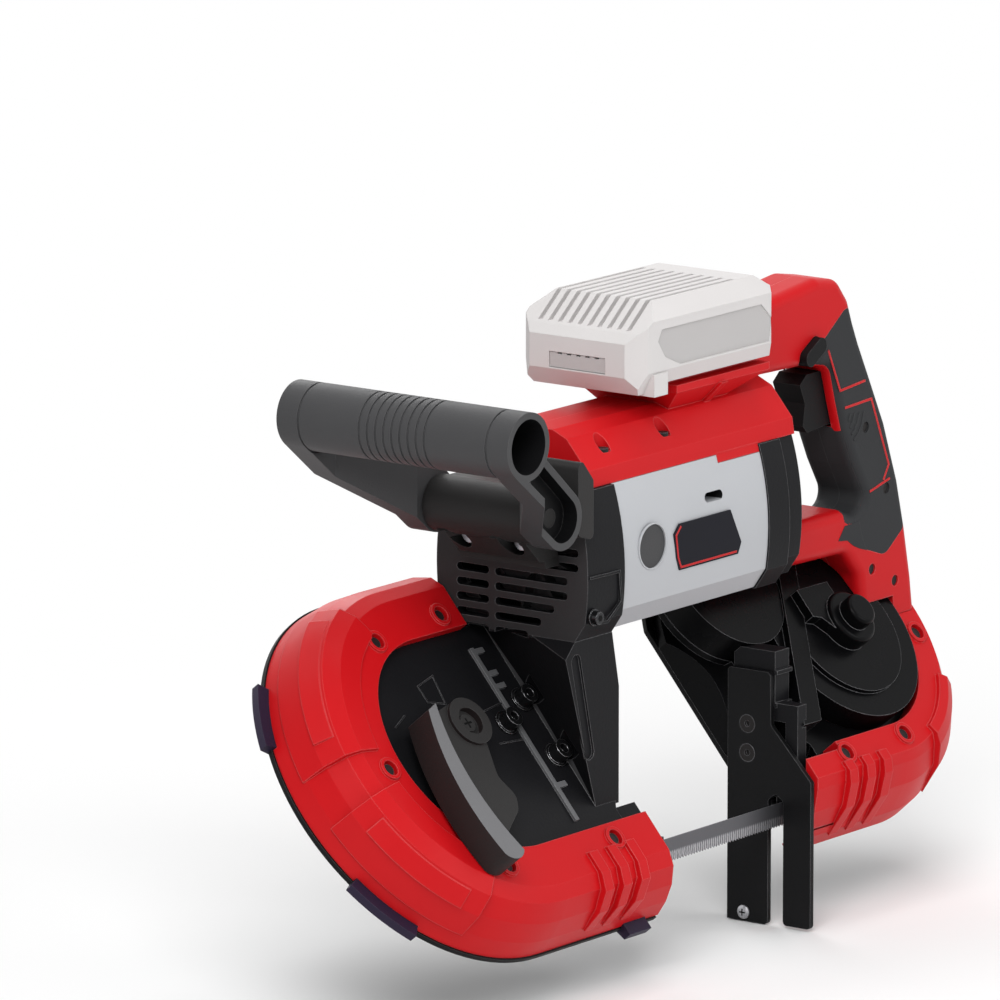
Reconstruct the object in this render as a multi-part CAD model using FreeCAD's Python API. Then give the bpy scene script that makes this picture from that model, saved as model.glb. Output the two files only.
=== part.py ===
import FreeCAD, Part
import math
import os
from FreeCAD import Placement, Rotation, Vector

os.makedirs("parts", exist_ok=True)

# Saw frame while modelling: +X to the rear along the blade, +Y to the far side, +Z up.
# Its zero is the blade's centre at the shoe's front face. Millimetres.

# Band and wheels
BAND_WIDTH = 13.0
BAND_THICK = 0.5
TOOTH_PITCH = 2.5
TOOTH_DEPTH = 1.1
WHEEL_RUN_DIA = 160.0
WHEEL_WIDTH = 14.0
TYRE_THICK = 2.5
RIM_THICK = 8.0
WEB_THICK = 4.0
HUB_RADIUS = 17.0
HUB_REACH = 9.0
WHEEL_HOLES = 6
WHEEL_HOLE_RADIUS = 13.0
WHEEL_HOLE_CIRCLE = WHEEL_RUN_DIA / 2 - 38.0
SHAFT_RADIUS = 8.0
TILT = 40.0
SHOE_SETBACK = 8.5
GUIDE_LEAD = 20.17
TENSION_TRAVEL = 8.0

# Clearances
GAP = 0.3
SEAT = 0.2
RUN_FIT = 0.05

# Wheel housings, measured in the wheel plane's own frame
CHAMBER_RADIUS = WHEEL_RUN_DIA / 2 + 8.0
WALL = 4.0
FAR_FACE = -12.3
CHAMBER_DEPTH = 16.0
PANEL_FACE = 20.0
ARM_INNER = WHEEL_RUN_DIA / 2 - 34.0
BRIDGE_HALF = 12.0
BRIDGE_FACE = 14.0
COVER_THICK = 2.8
COVER_OVERHANG = 1.0

# Bumpers
BUMPER_THICK = 16.4
REAR_BUMPER_THICK = 6.0
FRONT_RIM = WHEEL_RUN_DIA / 2 - 16.0
FRONT_BUMPER_FACE = 26.0
REAR_RIM = WHEEL_RUN_DIA / 2 - 20.0
REAR_BUMPER_FACE = 31.0
BUMPER_END_X = -138.0
BUMPER_END_SLANT = 14.0
REAR_BUMPER_TURN = 38.0
RAISE = 2.2
BAND_RAISE = 1.3
PAD_PROUD = 6.5
PAD_DEPTH = 7.0
PAD_BITE = 4.5
BOSS_RADIUS = 6.5
SCREW_RADIUS = 3.2

# Gear train
GEAR_MODULE = 1.5
GEAR_SHARE = 0.61
PINION_TEETH = 16
CROWN_TEETH = 36
MOTOR_TEETH = 9
CROWN_RADIUS = 22.0
CROWN_INNER = 17.0
CROWN_X = -8.0
GEAR_LOW = 23.0
GEAR_WIDTH = 9.0
GEAR_ROOM = 2.5
GEAR_BEND = 1.0
COVER_WALL = 3.5
COVER_TOP = 38.0
BOSS_TOP = 56.0
BOSS_OUT = 16.0
BOSS_SHOULDER = 48.0
BOSS_TIP = 9.5
BOSS_ROUND = 2.0
COUNTER_RADIUS = 5.0

# Motor
MOTOR_OUT = 77.0
MOTOR_STAND = 74.3
MOTOR_HALF = 47.0
MOTOR_DROP = 41.0
MOTOR_RISE = 37.0
MOTOR_BORE = 38.5
MOTOR_FRONT_X = -149.0
MOTOR_REAR_X = -17.0
COLLAR_REAR_X = 17.0
COLLAR_STEP_X = 2.0
COLLAR_STEP = 2.8
COLLAR_GROW = 0.8
CAP_FRONT_X = -182.0
ROTOR_RADIUS = 29.0
STATOR_INNER = 30.5
ROTOR_SHAFT = 5.0
BRUSH_X = -122.0
BRUSH_CAP_RADIUS = 11.8
FAN_RADIUS = 34.0

# Clamshell, handle and battery
SHELL_HALF = 17.0
SHELL_WALL = 3.5
PEDESTAL_FRONT_X = -82.0
OVERMOULD = 2.5
BATTERY_LENGTH = 126.0
BATTERY_HALF = 40.0
BATTERY_RISE = 82.0
PEDESTAL_DROP = 4.0
CROWN_DROP = 16.0
BATTERY_HEIGHT = 44.0
RAIL_HALF = 26.0
RAIL_LIP = 5.0
RAIL_HEIGHT = 5.0
TRIGGER_TRAVEL = 8.0
LOCK_TRAVEL = 4.0
LATCH_TRAVEL = 3.0

# Front handle
TUBE_X = -274.0
TUBE_RISE = 81.0
TUBE_RADIUS = 18.0
TUBE_BORE = 14.5
TUBE_LENGTH = 149.0
TUBE_OFFSET = -4.5
DRUM_X = -213.0
DRUM_RISE = 30.0
DRUM_RADIUS = 15.0
DRUM_NEAR = 42.0
DRUM_FAR = 24.0
PIVOT_RADIUS = 5.0

# Shoe and guides
SHOE_THICK = 3.0
SHOE_TOP = 77.0
SHOE_BOTTOM = -62.0
SHOE_NEAR = -20.0
SHOE_FAR = 34.8
SLOT_NEAR = -2.0
SLOT_FAR = 8.0
SLOT_TOP = 11.0
SHOE_CORNER = 2.5
ROLLER_RADIUS = 6.0
ROLLER_LENGTH = 7.0
ROLLER_PIN = 2.5
BACK_ROLLER_RADIUS = 6.0
BACK_ROLLER_LENGTH = 6.0
FRONT_GUIDE_X = -130.0
REAR_GUIDE_X = 10.0
GUIDE_STEP = 13.5

# Worked out from the sizes above
RUN = WHEEL_RUN_DIA / 2
DRIVE_X = RUN + SHOE_SETBACK
IDLER_X = FRONT_GUIDE_X - GUIDE_LEAD - RUN
BAND_LENGTH = 2 * (DRIVE_X - IDLER_X) + math.pi * WHEEL_RUN_DIA
FINAL_TEETH = int(GEAR_SHARE * WHEEL_RUN_DIA / GEAR_MODULE)
SIN, COS = math.sin(math.radians(TILT)), math.cos(math.radians(TILT))
WHEEL_PLANE = Placement(Vector(0, RUN * SIN, RUN * COS), Rotation(Vector(1, 0, 0), 90 - TILT))
SHELL_RADIUS = CHAMBER_RADIUS + WALL
BUMPER_RADIUS = SHELL_RADIUS + BUMPER_THICK
REAR_BUMPER_RADIUS = SHELL_RADIUS + REAR_BUMPER_THICK
COVER_RADIUS = BUMPER_RADIUS + COVER_OVERHANG
REAR_COVER_RADIUS = REAR_BUMPER_RADIUS - 1.0
PAD_RADIUS = BUMPER_RADIUS + PAD_PROUD
CENTRE_Y = (RUN + MOTOR_OUT) * SIN - MOTOR_STAND * COS
MOTOR_Z = (RUN + MOTOR_OUT) * COS + MOTOR_STAND * SIN
CROWN_Z = MOTOR_Z + BATTERY_RISE - CROWN_DROP
PEDESTAL_Z = MOTOR_Z + BATTERY_RISE - PEDESTAL_DROP
BATTERY_Z = MOTOR_Z + BATTERY_RISE
TUBE_Z = MOTOR_Z + TUBE_RISE
TUBE_Y = CENTRE_Y + TUBE_OFFSET
DRUM_Z = MOTOR_Z + DRUM_RISE
DRUM_NEAR_Y = CENTRE_Y - DRUM_NEAR
DRUM_FAR_Y = CENTRE_Y + DRUM_FAR
GEAR_REACH = math.hypot(DRIVE_X - CROWN_X, MOTOR_OUT) + GEAR_BEND
IDLER_TEETH = math.ceil(GEAR_REACH / GEAR_MODULE - (PINION_TEETH + FINAL_TEETH) / 2)
FRONT_ARM_END = FRONT_GUIDE_X - 19.0
X_DIR, Y_DIR, Z_DIR = Vector(1, 0, 0), Vector(0, 1, 0), Vector(0, 0, 1)
NEAR_DIR = WHEEL_PLANE.Rotation.multVec(Z_DIR)
TYRE_RADIUS = RUN - BAND_THICK / 2 - GAP


def wheel_point(u, v, n):
    """Point of the wheel plane's frame in the saw frame."""
    return WHEEL_PLANE.multVec(Vector(u, v, n))


def tilted(shape):
    """Shape drawn in the wheel plane's frame, carried into the saw frame."""
    moved = shape.copy()
    moved.Placement = WHEEL_PLANE.multiply(moved.Placement)
    return moved


def in_wheel_frame(point):
    """Saw frame point in the wheel plane's frame."""
    return WHEEL_PLANE.inverse().multVec(point)


def box(low, high):
    """Box between two opposite corners."""
    size = [high[i] - low[i] for i in range(3)]
    return Part.makeBox(size[0], size[1], size[2], Vector(*low))


def rod(start, end, radius):
    """Cylinder between two points."""
    start, end = Vector(*start), Vector(*end)
    return Part.makeCylinder(radius, (end - start).Length, start, end - start)


def ring(start, end, outer, inner):
    """Tube between two points."""
    return rod(start, end, outer).cut(rod(start, end, inner))


def prism(points, direction):
    """Extruded polygon through 3-D points."""
    corners = [Vector(*p) for p in points]
    return Part.Face(Part.makePolygon(corners + corners[:1])).extrude(Vector(*direction))


def side_prism(outline, near, far):
    """Extrusion along Y of an outline given as (x, z) pairs."""
    return prism([(x, near, z) for x, z in outline], (0, far - near, 0))


def rounded_wire(points, radius):
    """Closed flat wire through 3-D corners, each corner rounded as far as its two sides allow."""
    corners = [Vector(*p) for p in points]
    count = len(corners)
    starts, ends, edges = [], [], []
    for i in range(count):
        here = corners[i]
        back, ahead = corners[i - 1] - here, corners[(i + 1) % count] - here
        half_angle = back.getAngle(ahead) / 2
        reach = min(radius / math.tan(half_angle), 0.48 * back.Length, 0.48 * ahead.Length)
        back.normalize()
        ahead.normalize()
        bisector = back + ahead
        bisector.normalize()
        depth = reach / math.cos(half_angle) - reach * math.tan(half_angle)
        starts.append(here + back * reach)
        ends.append(here + ahead * reach)
        edges.append(Part.Arc(starts[-1], here + bisector * depth, ends[-1]).toShape())
    whole = []
    for i in range(count):
        whole.append(edges[i])
        whole.append(Part.LineSegment(ends[i], starts[(i + 1) % count]).toShape())
    return Part.Wire(whole)


def soft_prism(outline, near, far, corner, edge=0.0):
    """Extrusion along Y of an (x, z) outline with rounded corners and, if asked, rounded rims."""
    face = Part.Face(rounded_wire([(x, near, z) for x, z in outline], corner))
    body = face.extrude(Vector(0, far - near, 0))
    if edge > 0:
        rims = [e for e in body.Edges if abs(e.BoundBox.YMax - e.BoundBox.YMin) < 1e-6]
        body = body.makeFillet(edge, rims)
    return body


def tangent_outline(start, start_radius, end, end_radius):
    """Face (x, z plane, y = 0) of two circles and the straight sides that touch both."""
    line = Vector(end[0] - start[0], 0, end[1] - start[1])
    lean = math.acos((start_radius - end_radius) / line.Length)
    heading = math.atan2(line.z, line.x)
    corners = []
    for turn in (lean, -lean):
        way = Vector(math.cos(heading + turn), 0, math.sin(heading + turn))
        corners.append((Vector(start[0], 0, start[1]) + way * start_radius,
                        Vector(end[0], 0, end[1]) + way * end_radius))
    line.normalize()
    back = Vector(start[0], 0, start[1]) - line * start_radius
    front = Vector(end[0], 0, end[1]) + line * end_radius
    edges = [
        Part.LineSegment(corners[0][0], corners[0][1]).toShape(),
        Part.Arc(corners[0][1], front, corners[1][1]).toShape(),
        Part.LineSegment(corners[1][1], corners[1][0]).toShape(),
        Part.Arc(corners[1][0], back, corners[0][0]).toShape(),
    ]
    return Part.Face(Part.Wire(edges))


def join(shapes):
    """One solid from touching solids."""
    whole = shapes[0].fuse(shapes[1:]) if len(shapes) > 1 else shapes[0]
    return whole.removeSplitter()


def group(shapes):
    """Separate solids kept in one node."""
    return Part.makeCompound(shapes)


def rounded_slot(centre, half_length, half_width, depth, along, through):
    """Rounded slot cutter: runs along one direction and goes through another."""
    centre, along, through = Vector(*centre), Vector(*along), Vector(*through)
    across = through.cross(along)
    start = centre - through * depth
    reach, width = along * (half_length - half_width), across * half_width
    corners = [start - reach - width, start + reach - width, start + reach + width, start - reach + width]
    tips = [start + reach + along * half_width, start - reach - along * half_width]
    edges = [
        Part.LineSegment(corners[0], corners[1]).toShape(),
        Part.Arc(corners[1], tips[0], corners[2]).toShape(),
        Part.LineSegment(corners[2], corners[3]).toShape(),
        Part.Arc(corners[3], tips[1], corners[0]).toShape(),
    ]
    return Part.Face(Part.Wire(edges)).extrude(through * (2 * depth))


def turned(profile, axis_x, start_angle=0.0, sweep=360.0):
    """Body of revolution in the wheel frame, from (radius, height) pairs, about the wheel axis at axis_x."""
    face = Part.Face(Part.makePolygon([Vector(r, 0, n) for r, n in profile + profile[:1]]))
    face.rotate(Vector(0, 0, 0), Z_DIR, start_angle)
    body = face.revolve(Vector(0, 0, 0), Z_DIR, sweep)
    body.translate(Vector(axis_x, 0, 0))
    return body


def swept_straight(profile, axis_x, side, start, end):
    """Profile of a bumper pushed straight along X on the upper (+1) or lower (-1) side of a wheel."""
    points = [(axis_x + start, side * r, n) for r, n in profile]
    return prism(points, (end - start, 0, 0))


# Band

def band_section(x, turn):
    """Band cross-section at x, turned from the wheel axis towards the vertical by a fraction of the twist."""
    angle = math.radians(TILT + (90 - TILT) * turn)
    wide = Vector(0, -math.cos(angle), math.sin(angle)) * (BAND_WIDTH / 2)
    thick = Vector(0, math.sin(angle), math.cos(angle)) * (BAND_THICK / 2)
    middle = Vector(x, 0, 0)
    corners = [middle - wide - thick, middle + wide - thick, middle + wide + thick, middle - wide + thick]
    return Part.makePolygon(corners + corners[:1])


def twisted_span(x_wheel, x_guide, steps=6):
    """Free span between a wheel and a guide, where the band turns upright."""
    wires = []
    for i in range(steps + 1):
        part_way = i / steps
        smooth = part_way * part_way * (3 - 2 * part_way)
        wires.append(band_section(x_wheel + (x_guide - x_wheel) * part_way, smooth))
    return Part.makeLoft(wires, True, False)


def toothed_span(start, end):
    """Upright cutting span with raked teeth along its lower edge."""
    count = int((end - start) / TOOTH_PITCH)
    pitch = (end - start) / count
    top, root, tip = BAND_WIDTH / 2, -BAND_WIDTH / 2 + TOOTH_DEPTH, -BAND_WIDTH / 2
    outline = [(start, top), (start, tip)]
    for i in range(count):
        outline.append((start + i * pitch + 0.35 * pitch, root))
        outline.append((start + (i + 1) * pitch, tip))
    outline.append((end, top))
    return side_prism(outline, -BAND_THICK / 2, BAND_THICK / 2)


def band():
    half_w = BAND_WIDTH / 2
    outer, inner = RUN + BAND_THICK / 2, RUN - BAND_THICK / 2
    profile = [(inner, -half_w), (outer, -half_w), (outer, half_w), (inner, half_w)]
    front_bend = tilted(turned(profile, IDLER_X, 90, 180))
    rear_bend = tilted(turned(profile, DRIVE_X, 270, 180))
    back_span = tilted(box((IDLER_X, inner, -half_w), (DRIVE_X, outer, half_w)))
    front_upright = FRONT_GUIDE_X - GUIDE_STEP - BACK_ROLLER_RADIUS
    rear_upright = REAR_GUIDE_X + GUIDE_STEP + BACK_ROLLER_RADIUS
    spans = [
        twisted_span(IDLER_X, front_upright),
        toothed_span(front_upright, rear_upright),
        twisted_span(DRIVE_X, rear_upright),
    ]
    return join([front_bend, back_span, rear_bend] + spans)


# Wheels and tension slide

def wheel(axis_x, bore):
    """Spoked band wheel: hub, web with lightening holes, rim."""
    half_w, web = WHEEL_WIDTH / 2, WEB_THICK / 2
    rim_out = TYRE_RADIUS - TYRE_THICK
    rim_in = rim_out - RIM_THICK
    profile = [
        (bore, -HUB_REACH), (HUB_RADIUS, -HUB_REACH), (HUB_RADIUS, -web), (rim_in, -web), (rim_in, -half_w),
        (rim_out, -half_w), (rim_out, half_w), (rim_in, half_w), (rim_in, web), (HUB_RADIUS, web),
        (HUB_RADIUS, HUB_REACH), (bore, HUB_REACH),
    ]
    body = turned(profile, axis_x)
    holes = []
    for i in range(WHEEL_HOLES):
        angle = 2 * math.pi * i / WHEEL_HOLES
        u, v = axis_x + WHEEL_HOLE_CIRCLE * math.cos(angle), WHEEL_HOLE_CIRCLE * math.sin(angle)
        holes.append(rod((u, v, -half_w), (u, v, half_w), WHEEL_HOLE_RADIUS))
    return tilted(body.cut(holes))


def tyre(axis_x):
    half_w = WHEEL_WIDTH / 2
    rim_out = TYRE_RADIUS - TYRE_THICK
    return tilted(ring((axis_x, 0, -half_w), (axis_x, 0, half_w), TYRE_RADIUS, rim_out))


CARRIAGE_LOW = HUB_REACH + 0.6
CARRIAGE_HALF = 20.0
CARRIAGE_FRONT = -26.0
CARRIAGE_REAR = 16.0
GUIDE_BLOCK_START = 32.0
GUIDE_BLOCK_END = CHAMBER_RADIUS - 10.0
RAIL_WIDTH = 7.0
SPRING_V = -8.0
SPRING_RADIUS = 4.0
SPRING_WIRE = 1.3
SPRING_TURNS = 5
BEARING_RADIUS = 13.0


def idler_carriage():
    """Sliding plate with the idler wheel's axle."""
    plate = box((IDLER_X + CARRIAGE_FRONT, -CARRIAGE_HALF, CARRIAGE_LOW),
                (IDLER_X + CARRIAGE_REAR, CARRIAGE_HALF, CHAMBER_DEPTH - GAP))
    axle = rod((IDLER_X, 0, -HUB_REACH - 1), (IDLER_X, 0, CARRIAGE_LOW), SHAFT_RADIUS)
    return tilted(join([plate, axle]))


def idler_bearing():
    """Needle bush between the idler wheel's hub and its axle."""
    return tilted(ring((IDLER_X, 0, -HUB_REACH), (IDLER_X, 0, HUB_REACH), BEARING_RADIUS,
                       SHAFT_RADIUS + RUN_FIT))


def slide_guide():
    """Block and two rails under the front panel that carry the idler carriage."""
    inner = CARRIAGE_HALF + GAP
    block = box((IDLER_X + GUIDE_BLOCK_START, -inner - RAIL_WIDTH, CARRIAGE_LOW),
                (IDLER_X + GUIDE_BLOCK_END, inner + RAIL_WIDTH, CHAMBER_DEPTH))
    rails = [box((IDLER_X + CARRIAGE_FRONT, low, CARRIAGE_LOW),
                 (IDLER_X + GUIDE_BLOCK_START, low + RAIL_WIDTH, CHAMBER_DEPTH))
             for low in (inner, -inner - RAIL_WIDTH)]
    holes = [rod((u, v, CARRIAGE_LOW), (u, v, CHAMBER_DEPTH), SLIDE_BOLT_RADIUS + RUN_FIT) for u,
             v in slide_bolt_places()]
    return tilted(join([block] + rails).cut(holes))


SLIDE_BOLT_RADIUS = 3.0
SLIDE_BOLT_HEAD = 5.5
SLIDE_BOLT_LENGTH = 12.0
SEAT_DEPTH = 14.0


def slide_bolt_places():
    """Centres of the three socket bolts on the front panel."""
    return [(IDLER_X + 60.0, 17.0), (IDLER_X + 38.0, 7.0), (IDLER_X + 60.0, -18.0)]


def socket_bolt(place, seat, shank, head_radius, radius, washer=1.2):
    """Socket head bolt with a washer, along the near direction, in the wheel frame."""
    u, v = place
    disc = rod((u, v, seat), (u, v, seat + washer), head_radius + 1.5)
    head = rod((u, v, seat + washer), (u, v, seat + washer + 1.2 * head_radius), head_radius)
    stem = rod((u, v, seat - shank), (u, v, seat), radius)
    socket = rod((u, v, seat + washer + 0.5 * head_radius), (u, v, seat + washer + 1.2 * head_radius),
                 0.5 * head_radius)
    return join([disc, head, stem]).cut(socket)


def slide_bolts():
    return group([tilted(socket_bolt(p, PANEL_FACE, SLIDE_BOLT_LENGTH - SEAT, SLIDE_BOLT_HEAD,
                                     SLIDE_BOLT_RADIUS))
                  for p in slide_bolt_places()])


def helix_path(start_x, length, turns, v, n, radius):
    """Helix along X made of quarter turn arcs, in the wheel frame."""
    def at(t):
        angle = 2 * math.pi * t
        return Vector(start_x + length * t / turns, v + radius * math.cos(angle),
                      n + radius * math.sin(angle))
    count = int(4 * turns)
    step = turns / count
    arcs = [Part.Arc(at(i * step), at((i + 0.5) * step), at((i + 1) * step)).toShape() for i in range(count)]
    return Part.Wire(arcs)


def tension_spring():
    """Compression spring between the slide guide's block and the carriage."""
    start = IDLER_X + CARRIAGE_REAR + SPRING_WIRE / 2 + SEAT
    length = GUIDE_BLOCK_START - CARRIAGE_REAR - SPRING_WIRE - 2 * SEAT
    middle = (CARRIAGE_LOW + CHAMBER_DEPTH) / 2
    radius = min(SPRING_RADIUS, (CHAMBER_DEPTH - CARRIAGE_LOW) / 2 + 2)
    path = helix_path(start, length, SPRING_TURNS, SPRING_V, middle - 1.5, radius)
    first = path.Vertexes[0].Point
    section = Part.Wire(Part.makeCircle(SPRING_WIRE / 2, first,
                                        Vector(length / SPRING_TURNS, 0, 2 * math.pi * radius)))
    shell = Part.BRepOffsetAPI.MakePipeShell(path)
    shell.add(section)
    shell.build()
    shell.makeSolid()
    gap = length / SPRING_TURNS - SPRING_WIRE
    print("tension spring: least gap between turns %.2f mm" % gap)
    return tilted(shell.shape())


# Housings

def stadium(axis_x, radius, travel, low, high):
    """Round end swept along X by the slide's travel, between two heights, in the wheel frame."""
    ends = [rod((axis_x + t, 0, low), (axis_x + t, 0, high), radius) for t in (0.0, travel)]
    middle = box((axis_x, -radius, low), (axis_x + travel, radius, high))
    return join([ends[0], middle, ends[1]])


def motor_outline(x, grow):
    """Closed outline of the motor body at x, grown outwards by a margin."""
    half, drop, rise = MOTOR_HALF + grow, MOTOR_DROP + grow, MOTOR_RISE
    top, low, foot = half - 7.0, half - 1.5, half - 9.0
    chamfer = drop - 11.0

    def at(y, z):
        return Vector(x, CENTRE_Y + y, MOTOR_Z + z)
    edges = [
        Part.Arc(at(-top, rise), at(-half, 0.0), at(-low, -chamfer)).toShape(),
        Part.LineSegment(at(-low, -chamfer), at(-foot, -drop)).toShape(),
        Part.LineSegment(at(-foot, -drop), at(foot, -drop)).toShape(),
        Part.LineSegment(at(foot, -drop), at(low, -chamfer)).toShape(),
        Part.Arc(at(low, -chamfer), at(half, 0.0), at(top, rise)).toShape(),
        Part.LineSegment(at(top, rise), at(-top, rise)).toShape(),
    ]
    return Part.Face(Part.Wire(edges))


def motor_block(x0, x1, grow=0.0):
    """Solid of the motor's outline between two X positions."""
    return motor_outline(x0, grow).extrude(Vector(x1 - x0, 0, 0))


def motor_rod(x0, x1, radius):
    """Cylinder on the motor axis."""
    return rod((x0, CENTRE_Y, MOTOR_Z), (x1, CENTRE_Y, MOTOR_Z), radius)


CAP_GROW = 2.0
CAP_WALL = 4.0
NECK_NEAR_Y = CENTRE_Y - 41.0
NECK_REAR_X = -143.0
NECK_FOOT_X = -163.0
NECK_LEAN = 0.5
NECK_FLARE = 9.0
VENT_ROWS = 5
VENT_PITCH = 7.9
VENT_HALF = 2.1
VENT_TOP = MOTOR_Z - 10.5
UPPER_VENTS = 2
RIDGE_U = 44.0
RIDGE_WIDTH = 3.0
RIDGE_HEIGHT = 1.5
LEVER_U = -5.0
LEVER_V = 9.0
LEVER_PIN = 5.0


def vent_slots():
    """Two columns of slots in the vent wall; the near column shortens downwards and starts higher."""
    slots = []
    for row in range(VENT_ROWS):
        z = VENT_TOP - VENT_PITCH * row
        near_end = -36.0 + 8.5 * max(0, row - 1)
        for y0, y1 in ((15.0, 36.0), (near_end, 11.0)):
            slots.append(rounded_slot((CAP_FRONT_X, CENTRE_Y + (y0 + y1) / 2, z), (y1 - y0) / 2, VENT_HALF,
                                      2 * CAP_WALL, (0, 1, 0), (1, 0, 0)))
    for row in range(1, UPPER_VENTS + 1):
        place = (CAP_FRONT_X, CENTRE_Y - 32.5, VENT_TOP + VENT_PITCH * row)
        slots.append(rounded_slot(place, 10.5, VENT_HALF, 2 * CAP_WALL, (0, 1, 0), (1, 0, 0)))
    return slots


def front_ridge():
    """Raised rib with cross ticks down the front panel, in the wheel frame."""
    u, top = IDLER_X + RIDGE_U, PANEL_FACE + RIDGE_HEIGHT
    bars = [box((u, -FRONT_RIM + 8.0, PANEL_FACE - 1), (u + RIDGE_WIDTH, FRONT_RIM - 12.0, top))]
    for v in (FRONT_RIM - 16.0, FRONT_RIM - 30.0, FRONT_RIM - 38.0, -FRONT_RIM + 28.0):
        bars.append(box((u, v, PANEL_FACE - 1), (u + 10.0, v + RIDGE_WIDTH, top)))
    return bars


def front_neck():
    """Neck between the front panel and the motor's end cap; its front wall leans out over the panel."""
    low, rise = PANEL_FACE - 1.0, 2 * RUN
    corners = [(NECK_FOOT_X, -RUN, low), (NECK_REAR_X, -RUN, low), (NECK_REAR_X, -RUN, rise),
               (NECK_FOOT_X - NECK_LEAN * (rise - low), -RUN, rise)]
    wedge = tilted(prism(corners, (0, 2 * RUN, 0)))
    top = MOTOR_Z - MOTOR_DROP - CAP_GROW + 1.0
    front, rear = CAP_FRONT_X - NECK_FLARE, MOTOR_FRONT_X - SEAT
    side = [(front, 0.0), (NECK_REAR_X, 0.0), (NECK_REAR_X, top - 30.0), (rear, top), (CAP_FRONT_X, top),
            (front, top - NECK_FLARE)]
    return wedge.common(side_prism(side, NECK_NEAR_Y, CENTRE_Y + MOTOR_HALF))


def front_housing():
    """Front casting: wheel chamber, lower arm, neck and the motor's vented end cap."""
    outer = [
        stadium(IDLER_X, SHELL_RADIUS, TENSION_TRAVEL, FAR_FACE, PANEL_FACE),
        box((IDLER_X, -SHELL_RADIUS, FAR_FACE), (FRONT_ARM_END, -ARM_INNER, PANEL_FACE)),
        box((IDLER_X, ARM_INNER, FAR_FACE), (CAP_FRONT_X + 16, SHELL_RADIUS, PANEL_FACE)),
    ]
    inner = [
        stadium(IDLER_X, CHAMBER_RADIUS, TENSION_TRAVEL, FAR_FACE, CHAMBER_DEPTH),
        box((IDLER_X, -CHAMBER_RADIUS, FAR_FACE), (FRONT_ARM_END, -ARM_INNER - WALL, CHAMBER_DEPTH)),
        box((IDLER_X, ARM_INNER + WALL, FAR_FACE), (CAP_FRONT_X + 16, CHAMBER_RADIUS, CHAMBER_DEPTH)),
    ]
    chamber = tilted(join(outer + front_ridge()).cut(inner))
    cap = motor_block(CAP_FRONT_X, MOTOR_FRONT_X - SEAT, CAP_GROW)
    body = join([chamber, front_neck(), cap])
    hollow = motor_rod(CAP_FRONT_X + CAP_WALL, MOTOR_FRONT_X, MOTOR_BORE)
    pivot = tilted(rod((IDLER_X + LEVER_U, LEVER_V, CHAMBER_DEPTH),
                       (IDLER_X + LEVER_U, LEVER_V, PANEL_FACE), LEVER_PIN + RUN_FIT))
    bolts = [tilted(rod((u, v, CHAMBER_DEPTH), (u, v, PANEL_FACE + RIDGE_HEIGHT),
                        SLIDE_BOLT_RADIUS + RUN_FIT))
             for u, v in slide_bolt_places()]
    seats = [tilted(rod((u, v, PANEL_FACE), (u, v, PANEL_FACE + SEAT_DEPTH), SLIDE_BOLT_HEAD + 2.0))
             for u, v in slide_bolt_places()]
    shaft = motor_rod(CAP_FRONT_X, CAP_FRONT_X + CAP_WALL, ROTOR_SHAFT + 1.0)
    groove = rounded_slot((NECK_FOOT_X - 12.0, NECK_NEAR_Y, MOTOR_Z - 78.0), 30.0, 4.0, 1.5,
                          (-0.23, 0, 0.97), (0, 1, 0))
    bridge = tilted(box((CAP_FRONT_X + 16, RUN - BRIDGE_HALF - SEAT, FAR_FACE),
                        (DRIVE_X, RUN + BRIDGE_HALF + SEAT, BRIDGE_FACE + SEAT)))
    return body.cut([hollow, pivot, groove, bridge] + vent_slots() + bolts + seats)


def idler_gear_place():
    """Centre of the idler gear, from its distances to the crown gear's shaft and the drive shaft."""
    crown = in_wheel_frame(Vector(CROWN_X, CENTRE_Y, MOTOR_Z))
    r1 = GEAR_MODULE * (PINION_TEETH + IDLER_TEETH) / 2
    r2 = GEAR_MODULE * (IDLER_TEETH + FINAL_TEETH) / 2
    du, dv = DRIVE_X - crown.x, -crown.y
    span = math.hypot(du, dv)
    along = (r1 * r1 - r2 * r2 + span * span) / (2 * span)
    off = math.sqrt(r1 * r1 - along * along)
    return crown.x + (along * du + off * dv) / span, crown.y + (along * dv - off * du) / span


CROWN_V = in_wheel_frame(Vector(CROWN_X, CENTRE_Y, MOTOR_Z)).y
MOTOR_N = in_wheel_frame(Vector(CROWN_X, CENTRE_Y, MOTOR_Z)).z
IDLER_GEAR_U, IDLER_GEAR_V = idler_gear_place()


def gear_tip(teeth):
    """Outside radius of a spur gear."""
    return GEAR_MODULE * (teeth / 2 + 0.8)


def gear_places():
    """Centre and tooth count of the three spur gears in the wheel frame."""
    return [(DRIVE_X, 0.0, FINAL_TEETH), (IDLER_GEAR_U, IDLER_GEAR_V, IDLER_TEETH),
            (CROWN_X, CROWN_V, PINION_TEETH)]


def gear_envelope(margin, low, high):
    """Solid that holds the spur gears with a margin, in the wheel frame."""
    return join([rod((u, v, low), (u, v, high), gear_tip(teeth) + GEAR_ROOM + margin) for u, v,
                 teeth in gear_places()])


REAR_ARM_START = 30.0
SLOPE_START = FAR_FACE / 2
SLOPE_IN = 12.4


def rear_slope(radius, top):
    """Space outside the sloping near edge of the rear housing, round the wheel and along the lower arm."""
    lean = SLOPE_IN * (top - SLOPE_START) / (PANEL_FACE - SLOPE_START)
    profile = [(radius, SLOPE_START), (radius - lean, top), (radius - lean, top + WALL),
               (radius + WALL, top + WALL),
               (radius + WALL, SLOPE_START)]
    return turned(profile, DRIVE_X), swept_straight(profile, DRIVE_X, -1, -DRIVE_X, 0.0)


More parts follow.
